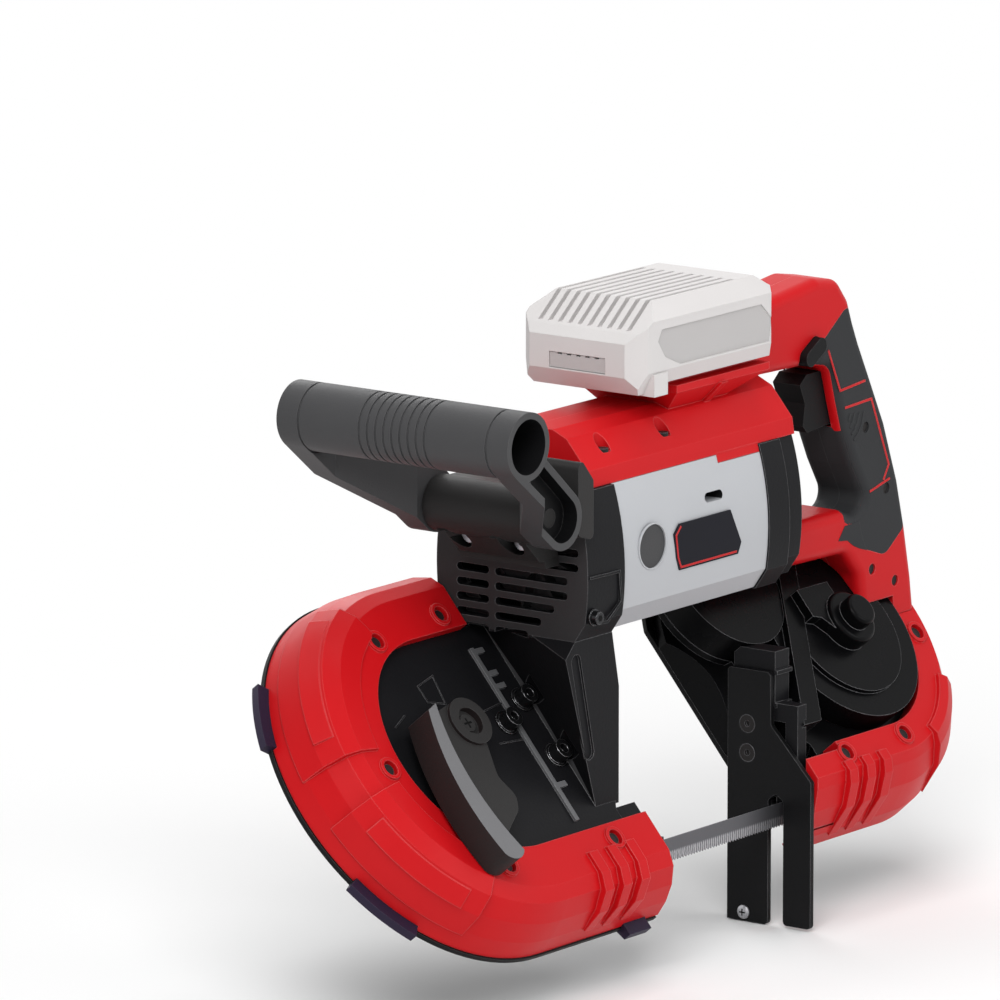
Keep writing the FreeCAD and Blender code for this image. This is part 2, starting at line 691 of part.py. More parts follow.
def rear_housing():
    """Rear casting: wheel chamber with a flat for the shoe, lower arm and gearbox floor."""
    round_slope, arm_slope = rear_slope(SHELL_RADIUS, PANEL_FACE)
    round_lining, arm_lining = rear_slope(CHAMBER_RADIUS, CHAMBER_DEPTH)
    outer = [
        rod((DRIVE_X, 0, FAR_FACE), (DRIVE_X, 0, PANEL_FACE), SHELL_RADIUS).cut(round_slope),
        box((REAR_ARM_START, -SHELL_RADIUS, FAR_FACE), (DRIVE_X, -ARM_INNER, PANEL_FACE)).cut(arm_slope),
        box((REAR_ARM_START, ARM_INNER, FAR_FACE), (DRIVE_X, SHELL_RADIUS, PANEL_FACE)),
        gear_envelope(COVER_WALL, CHAMBER_DEPTH, PANEL_FACE),
    ]
    inner = [
        rod((DRIVE_X, 0, FAR_FACE), (DRIVE_X, 0, CHAMBER_DEPTH), CHAMBER_RADIUS).cut(round_lining),
        box((REAR_ARM_START, -CHAMBER_RADIUS, FAR_FACE), (DRIVE_X, -ARM_INNER - WALL,
                                                          CHAMBER_DEPTH)).cut(arm_lining),
        box((REAR_ARM_START, ARM_INNER + WALL, FAR_FACE), (DRIVE_X, CHAMBER_RADIUS, CHAMBER_DEPTH)),
    ]
    room = join(inner).cut(box((DRIVE_X - 2 * SHELL_RADIUS, -SHELL_RADIUS, FAR_FACE),
                               (SHOE_THICK + WALL, RUN - BRIDGE_HALF - WALL, CHAMBER_DEPTH)))
    flat = join([box((DRIVE_X - 2 * SHELL_RADIUS, -SHELL_RADIUS, FAR_FACE), (SHOE_THICK, 0.0, PANEL_FACE)),
                 box((DRIVE_X - 2 * SHELL_RADIUS, 0.0, FAR_FACE),
                     (SHOE_THICK, RUN - BRIDGE_HALF - WALL, CHAMBER_DEPTH))])
    shaft = rod((DRIVE_X, 0, CHAMBER_DEPTH), (DRIVE_X, 0, PANEL_FACE), BEARING_RADIUS + RUN_FIT)
    screws = [rod((0, y, z), (SHOE_THICK + WALL + 4, y, z), SHOE_SCREW_RADIUS + RUN_FIT) for y,
              z in shoe_screw_places()]
    body = tilted(join(outer).cut([room, flat, shaft]))
    centre, axis, radius, length = roller_places(REAR_GUIDE_X, 1)["back"]
    roller_room = rod(centre - axis * (length + 2), centre + axis * (length + 2), radius + 1.0)
    return body.cut(screws + [roller_room])


SHOE_SCREW_RADIUS = 2.5


def shoe_screw_places():
    """Centres (y, z) of the two countersunk screws that hold the shoe."""
    return [(22.0, 47.0), (22.0, 31.0)]


STRIP_FACE = 39.5
STRIP_WIDTH = 16.0
STRIP_TOP = (74.0, 44.0)
STRIP_FOOT = (15.5, -49.0)


def cover_strip(grow=0.0):
    """Flat bar that runs slantwise over the gear cover, in the wheel frame."""
    half = STRIP_WIDTH / 2 + grow
    (u0, v0), (u1, v1) = STRIP_TOP, STRIP_FOOT
    corners = [(u0 - half, v0, PANEL_FACE + SEAT), (u0 + half, v0, PANEL_FACE + SEAT),
               (u1 + half, v1 - grow, PANEL_FACE + SEAT), (u1 - half, v1 - grow, PANEL_FACE + SEAT)]
    return prism(corners, (0, 0, STRIP_FACE + grow - PANEL_FACE - SEAT))


def gear_cover():
    """Cast cover of the gear train, stepped over the gears, with the drive shaft's bearing boss."""
    low = PANEL_FACE + SEAT
    skin = gear_envelope(COVER_WALL, low, COVER_TOP)
    tip = rod((DRIVE_X, 0, low), (DRIVE_X, 0, BOSS_TOP), BOSS_TIP)
    tip = tip.makeFillet(BOSS_ROUND, [e for e in tip.Edges if e.BoundBox.ZMin > BOSS_TOP - 0.1])
    shoulder = rod((DRIVE_X, 0, low), (DRIVE_X, 0, BOSS_SHOULDER), BOSS_OUT)
    rim = [e for e in shoulder.Edges if e.BoundBox.ZMin > BOSS_SHOULDER - 0.1]
    shoulder = shoulder.makeFillet(BOSS_ROUND, rim)
    arm = [(0.0, 24.0), (-28.0, 24.0), (-28.0, 7.0), (-22.0, 5.0), (-12.0, -8.0), (0.0, -2.0)]
    rib = prism([(DRIVE_X + u, v, COVER_TOP - 1.0) for u, v in arm],
                (0, 0, BOSS_SHOULDER - COVER_TOP - BOSS_ROUND))
    room = gear_envelope(0.0, low, COVER_TOP - COVER_WALL)
    bearing = rod((DRIVE_X, 0, low), (DRIVE_X, 0, BOSS_SHOULDER - COVER_WALL), BEARING_RADIUS - 3.0 + RUN_FIT)
    step = rod((DRIVE_X, 0, COVER_TOP - 3.0), (DRIVE_X, 0, COVER_TOP),
               gear_tip(FINAL_TEETH) + GEAR_ROOM + COVER_WALL)
    core = rod((DRIVE_X, 0, COVER_TOP - 3.0), (DRIVE_X, 0, COVER_TOP), gear_tip(FINAL_TEETH) - 8.0)
    keep = rod((IDLER_GEAR_U, IDLER_GEAR_V, COVER_TOP - 3.0), (IDLER_GEAR_U, IDLER_GEAR_V, COVER_TOP),
               gear_tip(IDLER_TEETH) + GEAR_ROOM + COVER_WALL)
    counter = rod((CROWN_X, CROWN_V, COVER_TOP - COVER_WALL), (CROWN_X, CROWN_V, COVER_TOP),
                  COUNTER_RADIUS + 1.0)
    body = join([skin.cut(step.cut([core, keep])), tip, shoulder, rib, cover_strip()])
    return tilted(body.cut([room, bearing, counter]))


def gear_cover_space():
    """Space that the gear cover and the gearbox floor take, for pieces that sit round them."""
    return tilted(gear_envelope(COVER_WALL + GAP, CHAMBER_DEPTH - GAP, COVER_TOP + GAP))


def frame_bridge():
    """Channel behind the motor that joins the housings and carries the band's return span."""
    start, end = CAP_FRONT_X + 16 + SEAT, REAR_ARM_START - SEAT
    outer = box((start, RUN - BRIDGE_HALF, FAR_FACE), (end, RUN + BRIDGE_HALF, BRIDGE_FACE))
    inner = box((start, RUN - BRIDGE_HALF + WALL, FAR_FACE), (end, RUN + BRIDGE_HALF - WALL,
                                                              BRIDGE_FACE - WALL))
    chamber = rod((DRIVE_X, 0, FAR_FACE), (DRIVE_X, 0, BRIDGE_FACE), SHELL_RADIUS + SEAT)
    return tilted(outer.cut([inner, chamber])).cut(gear_cover_space())


COVER_LOW = FAR_FACE - SEAT - COVER_THICK
COVER_HIGH = FAR_FACE - SEAT


def front_wheel_cover():
    """Far side cover of the idler wheel and the return span."""
    arm = box((IDLER_X, -COVER_RADIUS, COVER_LOW), (BUMPER_END_X + BUMPER_END_SLANT - 2, -ARM_INNER,
                                                    COVER_HIGH))
    top = box((IDLER_X, ARM_INNER, COVER_LOW), (CAP_FRONT_X + 14, COVER_RADIUS, COVER_HIGH))
    start, end, half = CAP_FRONT_X + 13.0, REAR_ARM_START - SEAT, BRIDGE_HALF + 6.0
    strip = box((start, RUN - half, COVER_LOW), (end, RUN + half, COVER_HIGH))
    disc = rod((DRIVE_X, 0, COVER_LOW), (DRIVE_X, 0, COVER_HIGH), REAR_COVER_RADIUS + SEAT)
    chamber = stadium(IDLER_X, COVER_RADIUS, TENSION_TRAVEL, COVER_LOW, COVER_HIGH)
    return tilted(join([chamber, arm, top, strip.cut(disc)]).cut(pad_solids(SEAT)))


def rear_wheel_cover():
    """Far side cover of the drive wheel, with a notch for the shoe."""
    disc = rod((DRIVE_X, 0, COVER_LOW), (DRIVE_X, 0, COVER_HIGH), REAR_COVER_RADIUS)
    arm = box((REAR_ARM_START, -REAR_COVER_RADIUS, COVER_LOW), (DRIVE_X, -ARM_INNER, COVER_HIGH))
    top = box((REAR_ARM_START, ARM_INNER, COVER_LOW), (DRIVE_X, REAR_COVER_RADIUS, COVER_HIGH))
    notch = box((DRIVE_X - 2 * COVER_RADIUS, -COVER_RADIUS, COVER_LOW),
                (SHOE_THICK + GAP, RUN - BRIDGE_HALF - WALL, COVER_HIGH))
    return tilted(join([disc, arm, top]).cut([notch] + pad_solids(SEAT)))


# Bumpers

def facets(rim, face):
    """Corners (radius, height) of a bumper's sloping facets, from its near face to its outer wall."""
    if rim == FRONT_RIM:
        drops = ((20.4, face), (12.4, face - 4.0), (5.9, face - 14.0), (1.9, 0.0), (0.0, FAR_FACE))
        return [(BUMPER_RADIUS - drop, height) for drop, height in drops]
    drops = ((21.0, face), (16.0, face - 4.0), (7.6, face - 14.0), (0.5, 0.0), (0.0, FAR_FACE))
    return [(REAR_BUMPER_RADIUS - drop, height) for drop, height in drops]


def bumper_profile(rim, face):
    """Cross-section (radius, height) of a bumper: flat near face, sloping facets, outer wall."""
    inner, under = SHELL_RADIUS + SEAT, PANEL_FACE + SEAT
    corners = facets(rim, face)
    if corners[2][0] > inner:
        foot = [(inner, FAR_FACE), (inner, under)]
    else:
        foot = [(inner, FAR_FACE), (inner, SLOPE_START), (inner - SLOPE_IN + SEAT, under)]
    return [(rim, under), (rim, face)] + corners + foot


def raised_profile(rim, face):
    """Cross-section of the panels that stand proud of a bumper's facets."""
    (r0, n0), (r1, n1), (r2, n2), (r3, n3) = facets(rim, face)[:4]
    proud = [(r0 + RAISE, n0 + RAISE), (r1 + 1.0 + RAISE, n1 + RAISE), (r2 + 1.0 + RAISE, n2 + 1.0),
             (r3 + 0.5 + RAISE / 2, n3 - 2.0)]
    under = [(r3 - 2.5, n3 - 2.0), (r2 - 1.5, n2), (r1 - 2.0, n1), (r0 - 2.0, n0 - 1.0)]
    start = min(rim + 12.0, r0 - 4.0)
    return [(start, face - 1.0), (start + 1.0, face + RAISE)] + proud + under


def banded_profile(rim, face):
    """Cross-section of the narrower bands that stand on the raised panels' middle facet."""
    (r1, n1), (r2, n2) = facets(rim, face)[1:3]
    out = 1.0 + RAISE + BAND_RAISE
    return [(r1 + out, n1 + 1.0), (r2 + out, n2 + 2.0), (r2 - 1.5, n2), (r1 - 2.0, n1)]


def screw_boss(u, v, face, radius, depth):
    return rod((u, v, face - depth), (u, v, face + 1.4), radius)


def front_screw_places():
    """Bumper screws of the front bumper, in the wheel frame."""
    return [(IDLER_X + 31.0, FRONT_RIM + 9.0), (IDLER_X - 28.0, FRONT_RIM + 4.0),
            (IDLER_X - FRONT_RIM - 11.0, -1.0),
            (IDLER_X - 32.5, -FRONT_RIM - 6.0), (IDLER_X + 58.0, -FRONT_RIM - 9.0)]


def rear_screw_places():
    return [(DRIVE_X - 50.0, -REAR_RIM - 8.0), (DRIVE_X + 5.0, -REAR_RIM - 7.5),
            (DRIVE_X + REAR_RIM + 6.0, -14.0)]


def pad_places():
    """Start angle and sweep of the rim pads about their wheel axis."""
    return [(IDLER_X, 138.0, 20.0), (IDLER_X, 202.0, 22.0)]


PAD_LOW = COVER_LOW - 1.6
STRAIGHT_PAD_LENGTH = 19.0
STRAIGHT_PAD_INSET = 14.0
STRAIGHT_PAD_X = BUMPER_END_X + BUMPER_END_SLANT - STRAIGHT_PAD_LENGTH - STRAIGHT_PAD_INSET


def pad_solids(grow):
    """Rim pads, or with a margin the pockets that they sit in."""
    inner, top = BUMPER_RADIUS - PAD_BITE - grow, PAD_LOW + PAD_DEPTH + grow
    profile = [(inner, COVER_HIGH + SEAT - grow), (BUMPER_RADIUS - 1.0, PAD_LOW),
               (PAD_RADIUS, PAD_LOW + 2.0), (PAD_RADIUS, top), (inner, top)]
    pads = [turned(profile, axis, start - grow / 2, sweep + grow) for axis, start, sweep in pad_places()]
    straight = [(STRAIGHT_PAD_X - grow, -r, n) for r, n in profile]
    pads.append(prism(straight, (STRAIGHT_PAD_LENGTH + 2 * grow, 0, 0)))
    return pads


CHEVRON_COUNT = 3
CHEVRON_STEP = 16.0


def chevrons(axis_x, first_u, rim, face):
    """Slanting ribs across a bumper's lower straight stretch."""
    ribs = []
    for i in range(CHEVRON_COUNT):
        u = first_u + CHEVRON_STEP * i
        profile = raised_profile(rim, face)
        ribs.append(swept_straight(profile, 0.0, -1, u, u + 0.45 * CHEVRON_STEP))
    return ribs


def bumper_end():
    """Wedge that slants the front bumper's end from its near face to its far rim."""
    near_u, far_u = BUMPER_END_X, BUMPER_END_X + BUMPER_END_SLANT
    top, beyond = FRONT_BUMPER_FACE + 2 * RAISE, far_u + BUMPER_END_SLANT
    corners = [(near_u, -2 * RUN, top), (far_u, -2 * RUN, FAR_FACE), (beyond, -2 * RUN, FAR_FACE),
               (beyond, -2 * RUN, top)]
    return prism(corners, (0, 2 * RUN, 0))


def front_bumper():
    """Bumper round the front housing."""
    profile, raised = bumper_profile(FRONT_RIM, FRONT_BUMPER_FACE), raised_profile(FRONT_RIM,
                                                                                   FRONT_BUMPER_FACE)
    top_end = CAP_FRONT_X - 1.0 - IDLER_X
    body = [
        turned(profile, IDLER_X, 90, 180),
        swept_straight(profile, IDLER_X, 1, 0.0, top_end),
        swept_straight(profile, IDLER_X, -1, 0.0, BUMPER_END_X + BUMPER_END_SLANT - IDLER_X),
    ]
    banded = banded_profile(FRONT_RIM, FRONT_BUMPER_FACE)
    panels = [turned(raised, IDLER_X, start, sweep) for start, sweep in ((112, 60), (187, 49))]
    panels += [turned(banded, IDLER_X, start, sweep) for start, sweep in ((119, 46), (194, 35))]
    bosses = [screw_boss(u, v, FRONT_BUMPER_FACE, BOSS_RADIUS, 4.0) for u, v in front_screw_places()]
    ribs = chevrons(IDLER_X, BUMPER_END_X - 62.0, FRONT_RIM, FRONT_BUMPER_FACE)
    holes = [rod((u, v, FRONT_BUMPER_FACE - 2.0), (u, v, FRONT_BUMPER_FACE + 3.0), BOSS_RADIUS - 2.0)
             for u, v in front_screw_places()]
    return tilted(join(body + panels + bosses + ribs).cut(holes + pad_solids(SEAT) + [bumper_end()]))


def rear_bumper():
    """Bumper round the rear housing."""
    profile, raised = bumper_profile(REAR_RIM, REAR_BUMPER_FACE), raised_profile(REAR_RIM, REAR_BUMPER_FACE)
    body = [
        turned(profile, DRIVE_X, 270, 90 + REAR_BUMPER_TURN),
        swept_straight(profile, DRIVE_X, -1, SHOE_THICK + 1.0 - DRIVE_X, 0.0),
    ]
    panels = [turned(raised, DRIVE_X, 292, 34)]
    bosses = [screw_boss(u, v, REAR_BUMPER_FACE, BOSS_RADIUS, 4.0) for u, v in rear_screw_places()]
    ribs = chevrons(DRIVE_X, 30.0, REAR_RIM, REAR_BUMPER_FACE)
    holes = [rod((u, v, REAR_BUMPER_FACE - 2.0), (u, v, REAR_BUMPER_FACE + 3.0), BOSS_RADIUS - 2.0)
             for u, v in rear_screw_places()]
    cover = gear_envelope(COVER_WALL + GAP, CHAMBER_DEPTH, COVER_TOP)
    whole = tilted(join(body + panels + bosses + ribs).cut(holes + pad_solids(SEAT) + [cover]))
    guide_room = box((0.0, -BAND_THICK / 2 - 2 * GAP - 2 * ROLLER_RADIUS - 1.0, -BAND_WIDTH / 2 - 3.0),
                     (REAR_GUIDE_X + GUIDE_STEP + 2 * BACK_ROLLER_RADIUS, 20.0, 100.0))
    return whole.cut(guide_room)


def bumper_screws():
    """Pan head screws that hold the bumpers."""
    screws = []
    for places, face in ((front_screw_places(), FRONT_BUMPER_FACE), (rear_screw_places(), REAR_BUMPER_FACE)):
        for u, v in places:
            screws.append(tilted(rod((u, v, face - 2.0), (u, v, face - 0.4), SCREW_RADIUS)))
    return group(screws)


# Gear train and shafts

def gear_blank(place, teeth, pitch_radius, low, high, phase, tip=0.8, root=1.0, share=0.40):
    """Straight toothed gear in the wheel frame, teeth narrower than their gaps."""
    u, v = place
    module = 2 * pitch_radius / teeth
    r_root, r_tip = pitch_radius - root * module, pitch_radius + tip * module
    step = 2 * math.pi / teeth
    points = []
    for i in range(teeth):
        middle = phase + i * step
        for radius, half in ((r_root, 0.62), (r_tip, 0.30)):
            points.append((radius, middle - share * step * half))
        for radius, half in ((r_tip, 0.30), (r_root, 0.62)):
            points.append((radius, middle + share * step * half))
    corners = [Vector(u + r * math.cos(a), v + r * math.sin(a), low) for r, a in points]
    return Part.Face(Part.makePolygon(corners + corners[:1])).extrude(Vector(0, 0, high - low))


def direction(start, end):
    """Angle in the wheel plane from one centre to another."""
    return math.atan2(end[1] - start[1], end[0] - start[0])


DRIVE_PLACE = (DRIVE_X, 0.0)
IDLER_PLACE = (IDLER_GEAR_U, IDLER_GEAR_V)
CROWN_PLACE = (CROWN_X, CROWN_V)
GEAR_HIGH = GEAR_LOW + GEAR_WIDTH


def drive_gear():
    phase = direction(DRIVE_PLACE, IDLER_PLACE)
    body = gear_blank(DRIVE_PLACE, FINAL_TEETH, GEAR_MODULE * FINAL_TEETH / 2, GEAR_LOW, GEAR_HIGH, phase)
    bore = rod((DRIVE_X, 0, GEAR_LOW), (DRIVE_X, 0, GEAR_HIGH), SHAFT_RADIUS)
    return tilted(body.cut(bore))


def drive_shaft():
    top = BOSS_SHOULDER - COVER_WALL - SEAT
    shaft = rod((DRIVE_X, 0, -HUB_REACH), (DRIVE_X, 0, top), SHAFT_RADIUS)
    head = rod((DRIVE_X, 0, -HUB_REACH - 2.0), (DRIVE_X, 0, -HUB_REACH), SHAFT_RADIUS + 3.0)
    return tilted(join([shaft, head]))


def idler_gear():
    toward_drive = direction(IDLER_PLACE, DRIVE_PLACE)
    step = 2 * math.pi / IDLER_TEETH
    body = gear_blank(IDLER_PLACE, IDLER_TEETH, GEAR_MODULE * IDLER_TEETH / 2, GEAR_LOW, GEAR_HIGH,
                      toward_drive + step / 2)
    u, v = IDLER_PLACE
    pin = rod((u, v, PANEL_FACE + SEAT), (u, v, COVER_TOP - COVER_WALL - SEAT), COUNTER_RADIUS)
    return tilted(join([body, pin]))


def counter_phase():
    """Phase of the pinion on the crown gear's shaft, so that it meshes with the idler gear."""
    step = 2 * math.pi / IDLER_TEETH
    first = direction(IDLER_PLACE, DRIVE_PLACE) + step / 2
    toward = direction(IDLER_PLACE, CROWN_PLACE)
    offset = ((toward - first) / step) % 1.0
    own_step = 2 * math.pi / PINION_TEETH
    return direction(CROWN_PLACE, IDLER_PLACE) + own_step / 2 + offset * own_step


MOTOR_PITCH = CROWN_RADIUS + CROWN_INNER
MOTOR_PITCH_RADIUS = MOTOR_PITCH / 2 * MOTOR_TEETH / CROWN_TEETH
CROWN_RIB = 2.0
CROWN_MESH = 0.4
CROWN_TOP = MOTOR_N - MOTOR_PITCH_RADIUS + CROWN_MESH
CROWN_BASE = CROWN_TOP - CROWN_RIB


def crown_gear():
    """Crown gear on its shaft, with the pinion that drives the idler gear."""
    u, v = CROWN_PLACE
    disc = rod((u, v, CROWN_BASE - 4.0), (u, v, CROWN_BASE), CROWN_RADIUS)
    ribs = []
    for i in range(CROWN_TEETH):
        angle = math.degrees(2 * math.pi * (i + 0.5) / CROWN_TEETH)
        rib = box((CROWN_INNER, -0.45, CROWN_BASE - 0.5), (CROWN_RADIUS, 0.45, CROWN_TOP))
        rib.rotate(Vector(0, 0, 0), Z_DIR, 180 + angle)
        rib.translate(Vector(u, v, 0))
        ribs.append(rib)
    shaft = rod((u, v, PANEL_FACE + SEAT), (u, v, CROWN_BASE), COUNTER_RADIUS)
    pinion = gear_blank(CROWN_PLACE, PINION_TEETH, GEAR_MODULE * PINION_TEETH / 2, GEAR_LOW, GEAR_HIGH,
                        counter_phase())
    return tilted(join([disc, shaft, pinion] + ribs))


def motor_pinion():
    """Small straight pinion on the motor shaft, in mesh with the crown gear."""
    low, high = CROWN_X - CROWN_RADIUS, CROWN_X - CROWN_INNER
    body = gear_blank((0.0, 0.0), MOTOR_TEETH, MOTOR_PITCH_RADIUS, 0.0, high - low, 0.0, 0.75, 1.0, 0.42)
    body.rotate(Vector(0, 0, 0), Y_DIR, 90)
    down = Vector(0, -NEAR_DIR.y, -NEAR_DIR.z)
    body.rotate(Vector(0, 0, 0), X_DIR, math.degrees(math.atan2(down.z, down.y)) + 90)
    body.translate(Vector(low, CENTRE_Y, MOTOR_Z))
    return body


def gearbox_bearings():
    """Ball bearings of the drive shaft: one in the floor, one in the cover's boss."""
    floor = ring((DRIVE_X, 0, CHAMBER_DEPTH), (DRIVE_X, 0, PANEL_FACE), BEARING_RADIUS,
                 SHAFT_RADIUS + RUN_FIT)
    high = BOSS_SHOULDER - COVER_WALL - SEAT
    boss = ring((DRIVE_X, 0, high - 8.0), (DRIVE_X, 0, high), BEARING_RADIUS - 3.0, SHAFT_RADIUS + RUN_FIT)
    return group([tilted(floor), tilted(boss)])


# Motor

def motor_housing():
    """Silver motor barrel."""
    body = motor_block(MOTOR_FRONT_X, MOTOR_REAR_X)
    bore = motor_rod(MOTOR_FRONT_X, MOTOR_REAR_X, MOTOR_BORE)
    caps = [rod((BRUSH_X, CENTRE_Y + s * (MOTOR_HALF + 1), MOTOR_Z), (BRUSH_X, CENTRE_Y, MOTOR_Z),
                BRUSH_CAP_RADIUS + RUN_FIT)
            for s in (-1, 1)]
    vent = rounded_slot((-64.0, CENTRE_Y - MOTOR_HALF, MOTOR_Z + 17.0), 8.0, 2.6, 12.0, (1, 0, 0), (0, 1, 0))
    step = box((COVER_STEP_X, CENTRE_Y - 60.0, MOTOR_Z + MOTOR_RISE - COVER_STEP - SEAT),
               (COLLAR_REAR_X, CENTRE_Y + 60.0, MOTOR_Z + MOTOR_RISE + 1.0))
    return body.cut([bore, vent, step] + caps).cut(gear_cover_space())


BRUSH_CAP_DEPTH = 3.5


def brush_caps():
    """Round screw-in caps over the brushes, one on each side."""
    caps = []
    for s in (-1, 1):
        face = CENTRE_Y + s * (MOTOR_HALF - 0.3)
        inner = CENTRE_Y + s * (MOTOR_HALF - BRUSH_CAP_DEPTH)
        caps.append(rod((BRUSH_X, inner, MOTOR_Z), (BRUSH_X, face, MOTOR_Z), BRUSH_CAP_RADIUS))
    return group(caps)


COMMUTATOR_RADIUS = 13.0
BRUSH_TUBE = 6.0


def brush_holders():
    """Guide tubes with the carbon brushes."""
    tubes = []
    for s in (-1, 1):
        outer = CENTRE_Y + s * (MOTOR_HALF - BRUSH_CAP_DEPTH - SEAT)
        inner = CENTRE_Y + s * (COMMUTATOR_RADIUS + GAP)
        tubes.append(rod((BRUSH_X, inner, MOTOR_Z), (BRUSH_X, outer, MOTOR_Z), BRUSH_TUBE))
    return group(tubes)


STATOR_FRONT_X = -106.0
STATOR_REAR_X = -48.0


def motor_stator():
    """Magnet ring of the motor."""
    return motor_rod(STATOR_FRONT_X, STATOR_REAR_X, MOTOR_BORE - SEAT).cut(
        motor_rod(STATOR_FRONT_X, STATOR_REAR_X, STATOR_INNER))


SHAFT_FRONT_X = CAP_FRONT_X + CAP_WALL + 3.0
FRONT_BEARING_X = SHAFT_FRONT_X
REAR_BEARING_X = -42.0
BEARING_WIDTH = 7.0
FAN_X = -166.0
FAN_WIDTH = 10.0
FAN_BLADES = 9


def armature():
    """Rotor stack with its shaft and commutator."""
    stack = motor_rod(STATOR_FRONT_X + 2, STATOR_REAR_X - 2, ROTOR_RADIUS)
    shaft = motor_rod(SHAFT_FRONT_X, CROWN_X - CROWN_RADIUS, ROTOR_SHAFT)
    commutator = motor_rod(BRUSH_X - 8, BRUSH_X + 8, COMMUTATOR_RADIUS)
    return join([shaft, stack, commutator, motor_pinion()])


def motor_fan():
    """Radial fan behind the vent wall."""
    x0, x1 = FAN_X, FAN_X + FAN_WIDTH
    plate = motor_rod(x1 - 2, x1, FAN_RADIUS)
    hub = motor_rod(x0, x1, ROTOR_SHAFT + 5)
    blades = []
    for i in range(FAN_BLADES):
        blade = box((x0, ROTOR_SHAFT + 3, -0.8), (x1, FAN_RADIUS - 1, 0.8))
        blade.rotate(Vector(0, 0, 0), X_DIR, 360.0 * i / FAN_BLADES)
        blade.translate(Vector(0, CENTRE_Y, MOTOR_Z))
        blades.append(blade)
    return join([plate, hub] + blades).cut(motor_rod(x0, x1, ROTOR_SHAFT))


def motor_bearings():
    """Motor shaft bearings with their carriers."""
    front = motor_rod(FRONT_BEARING_X, FRONT_BEARING_X + BEARING_WIDTH, 14.0)
    plate = motor_rod(REAR_BEARING_X, REAR_BEARING_X + BEARING_WIDTH, MOTOR_BORE - SEAT)
    spider = motor_rod(CAP_FRONT_X + CAP_WALL, FRONT_BEARING_X, 14.0)
    bores = [motor_rod(CAP_FRONT_X, FRONT_BEARING_X + BEARING_WIDTH, ROTOR_SHAFT + RUN_FIT),
             motor_rod(REAR_BEARING_X, REAR_BEARING_X + BEARING_WIDTH, ROTOR_SHAFT + RUN_FIT)]
    return group([join([front, spider]).cut(bores[0]), plate.cut(bores[1])])


def motor_rear_collar():
    """Black collar between the motor and the gearbox."""
    body = join([motor_block(MOTOR_REAR_X + SEAT, COLLAR_STEP_X, COLLAR_GROW),
                 motor_block(COLLAR_STEP_X, COLLAR_REAR_X, COLLAR_GROW - COLLAR_STEP)])
    u, v = CROWN_PLACE
    room = tilted(rod((u, v, CROWN_BASE - 4.0 - GAP), (u, v, MOTOR_N + 8.0), CROWN_RADIUS + 1.5))
    shaft = tilted(rod((u, v, 0), (u, v, CROWN_BASE), COUNTER_RADIUS + RUN_FIT))
    return body.cut([room, shaft, gear_cover_space()])


def nameplate():
    """Bare plate on the near side of the motor barrel."""
    y = CENTRE_Y - MOTOR_HALF - 0.6
    outline = [(-98.0, -17.0), (-101.0, -10.0), (-103.0, 3.0), (-98.0, 8.0), (-52.0, 8.0), (-42.0, -11.0),
               (-45.0, -17.0)]
    return side_prism([(x, MOTOR_Z + z) for x, z in outline], y,
                      y + 0.8).cut(motor_block(MOTOR_FRONT_X, MOTOR_REAR_X))


# Clamshell

def handle_outline():
    """Side outline (x, height over the motor axis) of the handle: arch, grip and base."""
    front = COLLAR_REAR_X + SEAT
    base = [(front, -44.0), (front, -21.0), (98.0, -21.0), (107.0, -26.0), (119.0, -19.0)]
    inside = [(106.0, 2.0), (96.0, 22.0), (90.0, 40.0), (84.0, 60.0), (62.0, 64.0), (20.0, 65.0), (2.0, 60.0)]
    arch = [(2.0, 100.0), (38.0, 106.5), (72.0, 110.5), (92.0, 107.0), (102.0, 95.0), (107.0, 82.0)]
    back = [(112.5, 70.0), (122.5, 51.0), (137.5, 22.0), (150.5, -12.0), (158.0, -40.0), (164.0, -68.0),
            (169.0, -102.0)]
    foot = [(118.0, -102.0), (112.0, -60.0), (100.0, -46.0)]
    return [(x, MOTOR_Z + z) for x, z in base + inside + arch + back + foot]


def grip_outline():
    """Side outline of the rubber covered part of the grip."""
    front = [(107.0, -26.5), (119.0, -19.0), (106.0, 2.0), (96.0, 22.0), (90.0, 40.0), (85.0, 58.0),
             (60.0, 64.5)]
    back = [(100.0, 93.0), (107.0, 82.0), (112.5, 70.0), (122.5, 51.0), (137.5, 22.0), (150.5, -12.0),
            (157.0, -37.0)]
    return [(x, MOTOR_Z + z) for x, z in front + back + [(136.0, -52.0), (112.0, -44.0)]]


GRIP_CORNER = 9.0
HANDLE_EDGE = 6.0


def grip_body(half):
    """Grip solid of one half thickness."""
    return soft_prism(grip_outline(), CENTRE_Y - half, CENTRE_Y + half, GRIP_CORNER)


def handle_body():
    """Whole handle before it is split into halves, without the top cover."""
    frame = soft_prism(handle_outline(), CENTRE_Y - SHELL_HALF, CENTRE_Y + SHELL_HALF, GRIP_CORNER,
                       HANDLE_EDGE)
    return frame.cut(grip_sleeve())


COVER_FRONT_X = -168.0
COVER_STEP_X = -55.0
COVER_STEP = 4.0
COVER_BASE_Z = MOTOR_Z + MOTOR_RISE + SEAT
COVER_TALL = CROWN_Z - COVER_BASE_Z
COVER_OUTLINE = [(-40.0, COVER_BASE_Z), (-38.5, COVER_BASE_Z + 0.31 * COVER_TALL),
                 (-25.0, COVER_BASE_Z + 0.86 * COVER_TALL), (-16.0, CROWN_Z)]


PEDESTAL_RIB = 2.5
PEDESTAL_RIB_X = -44.0
TOP_SCREW_RADIUS = 3.4
TOP_SCREW_SEAT = CROWN_Z - 14.0


def top_screw_places():
    """Centres (x, y) of the two screws sunk in the near slope of the top cover."""
    return [(-143.5, CENTRE_Y - 30.0), (-90.0, CENTRE_Y - 30.0)]


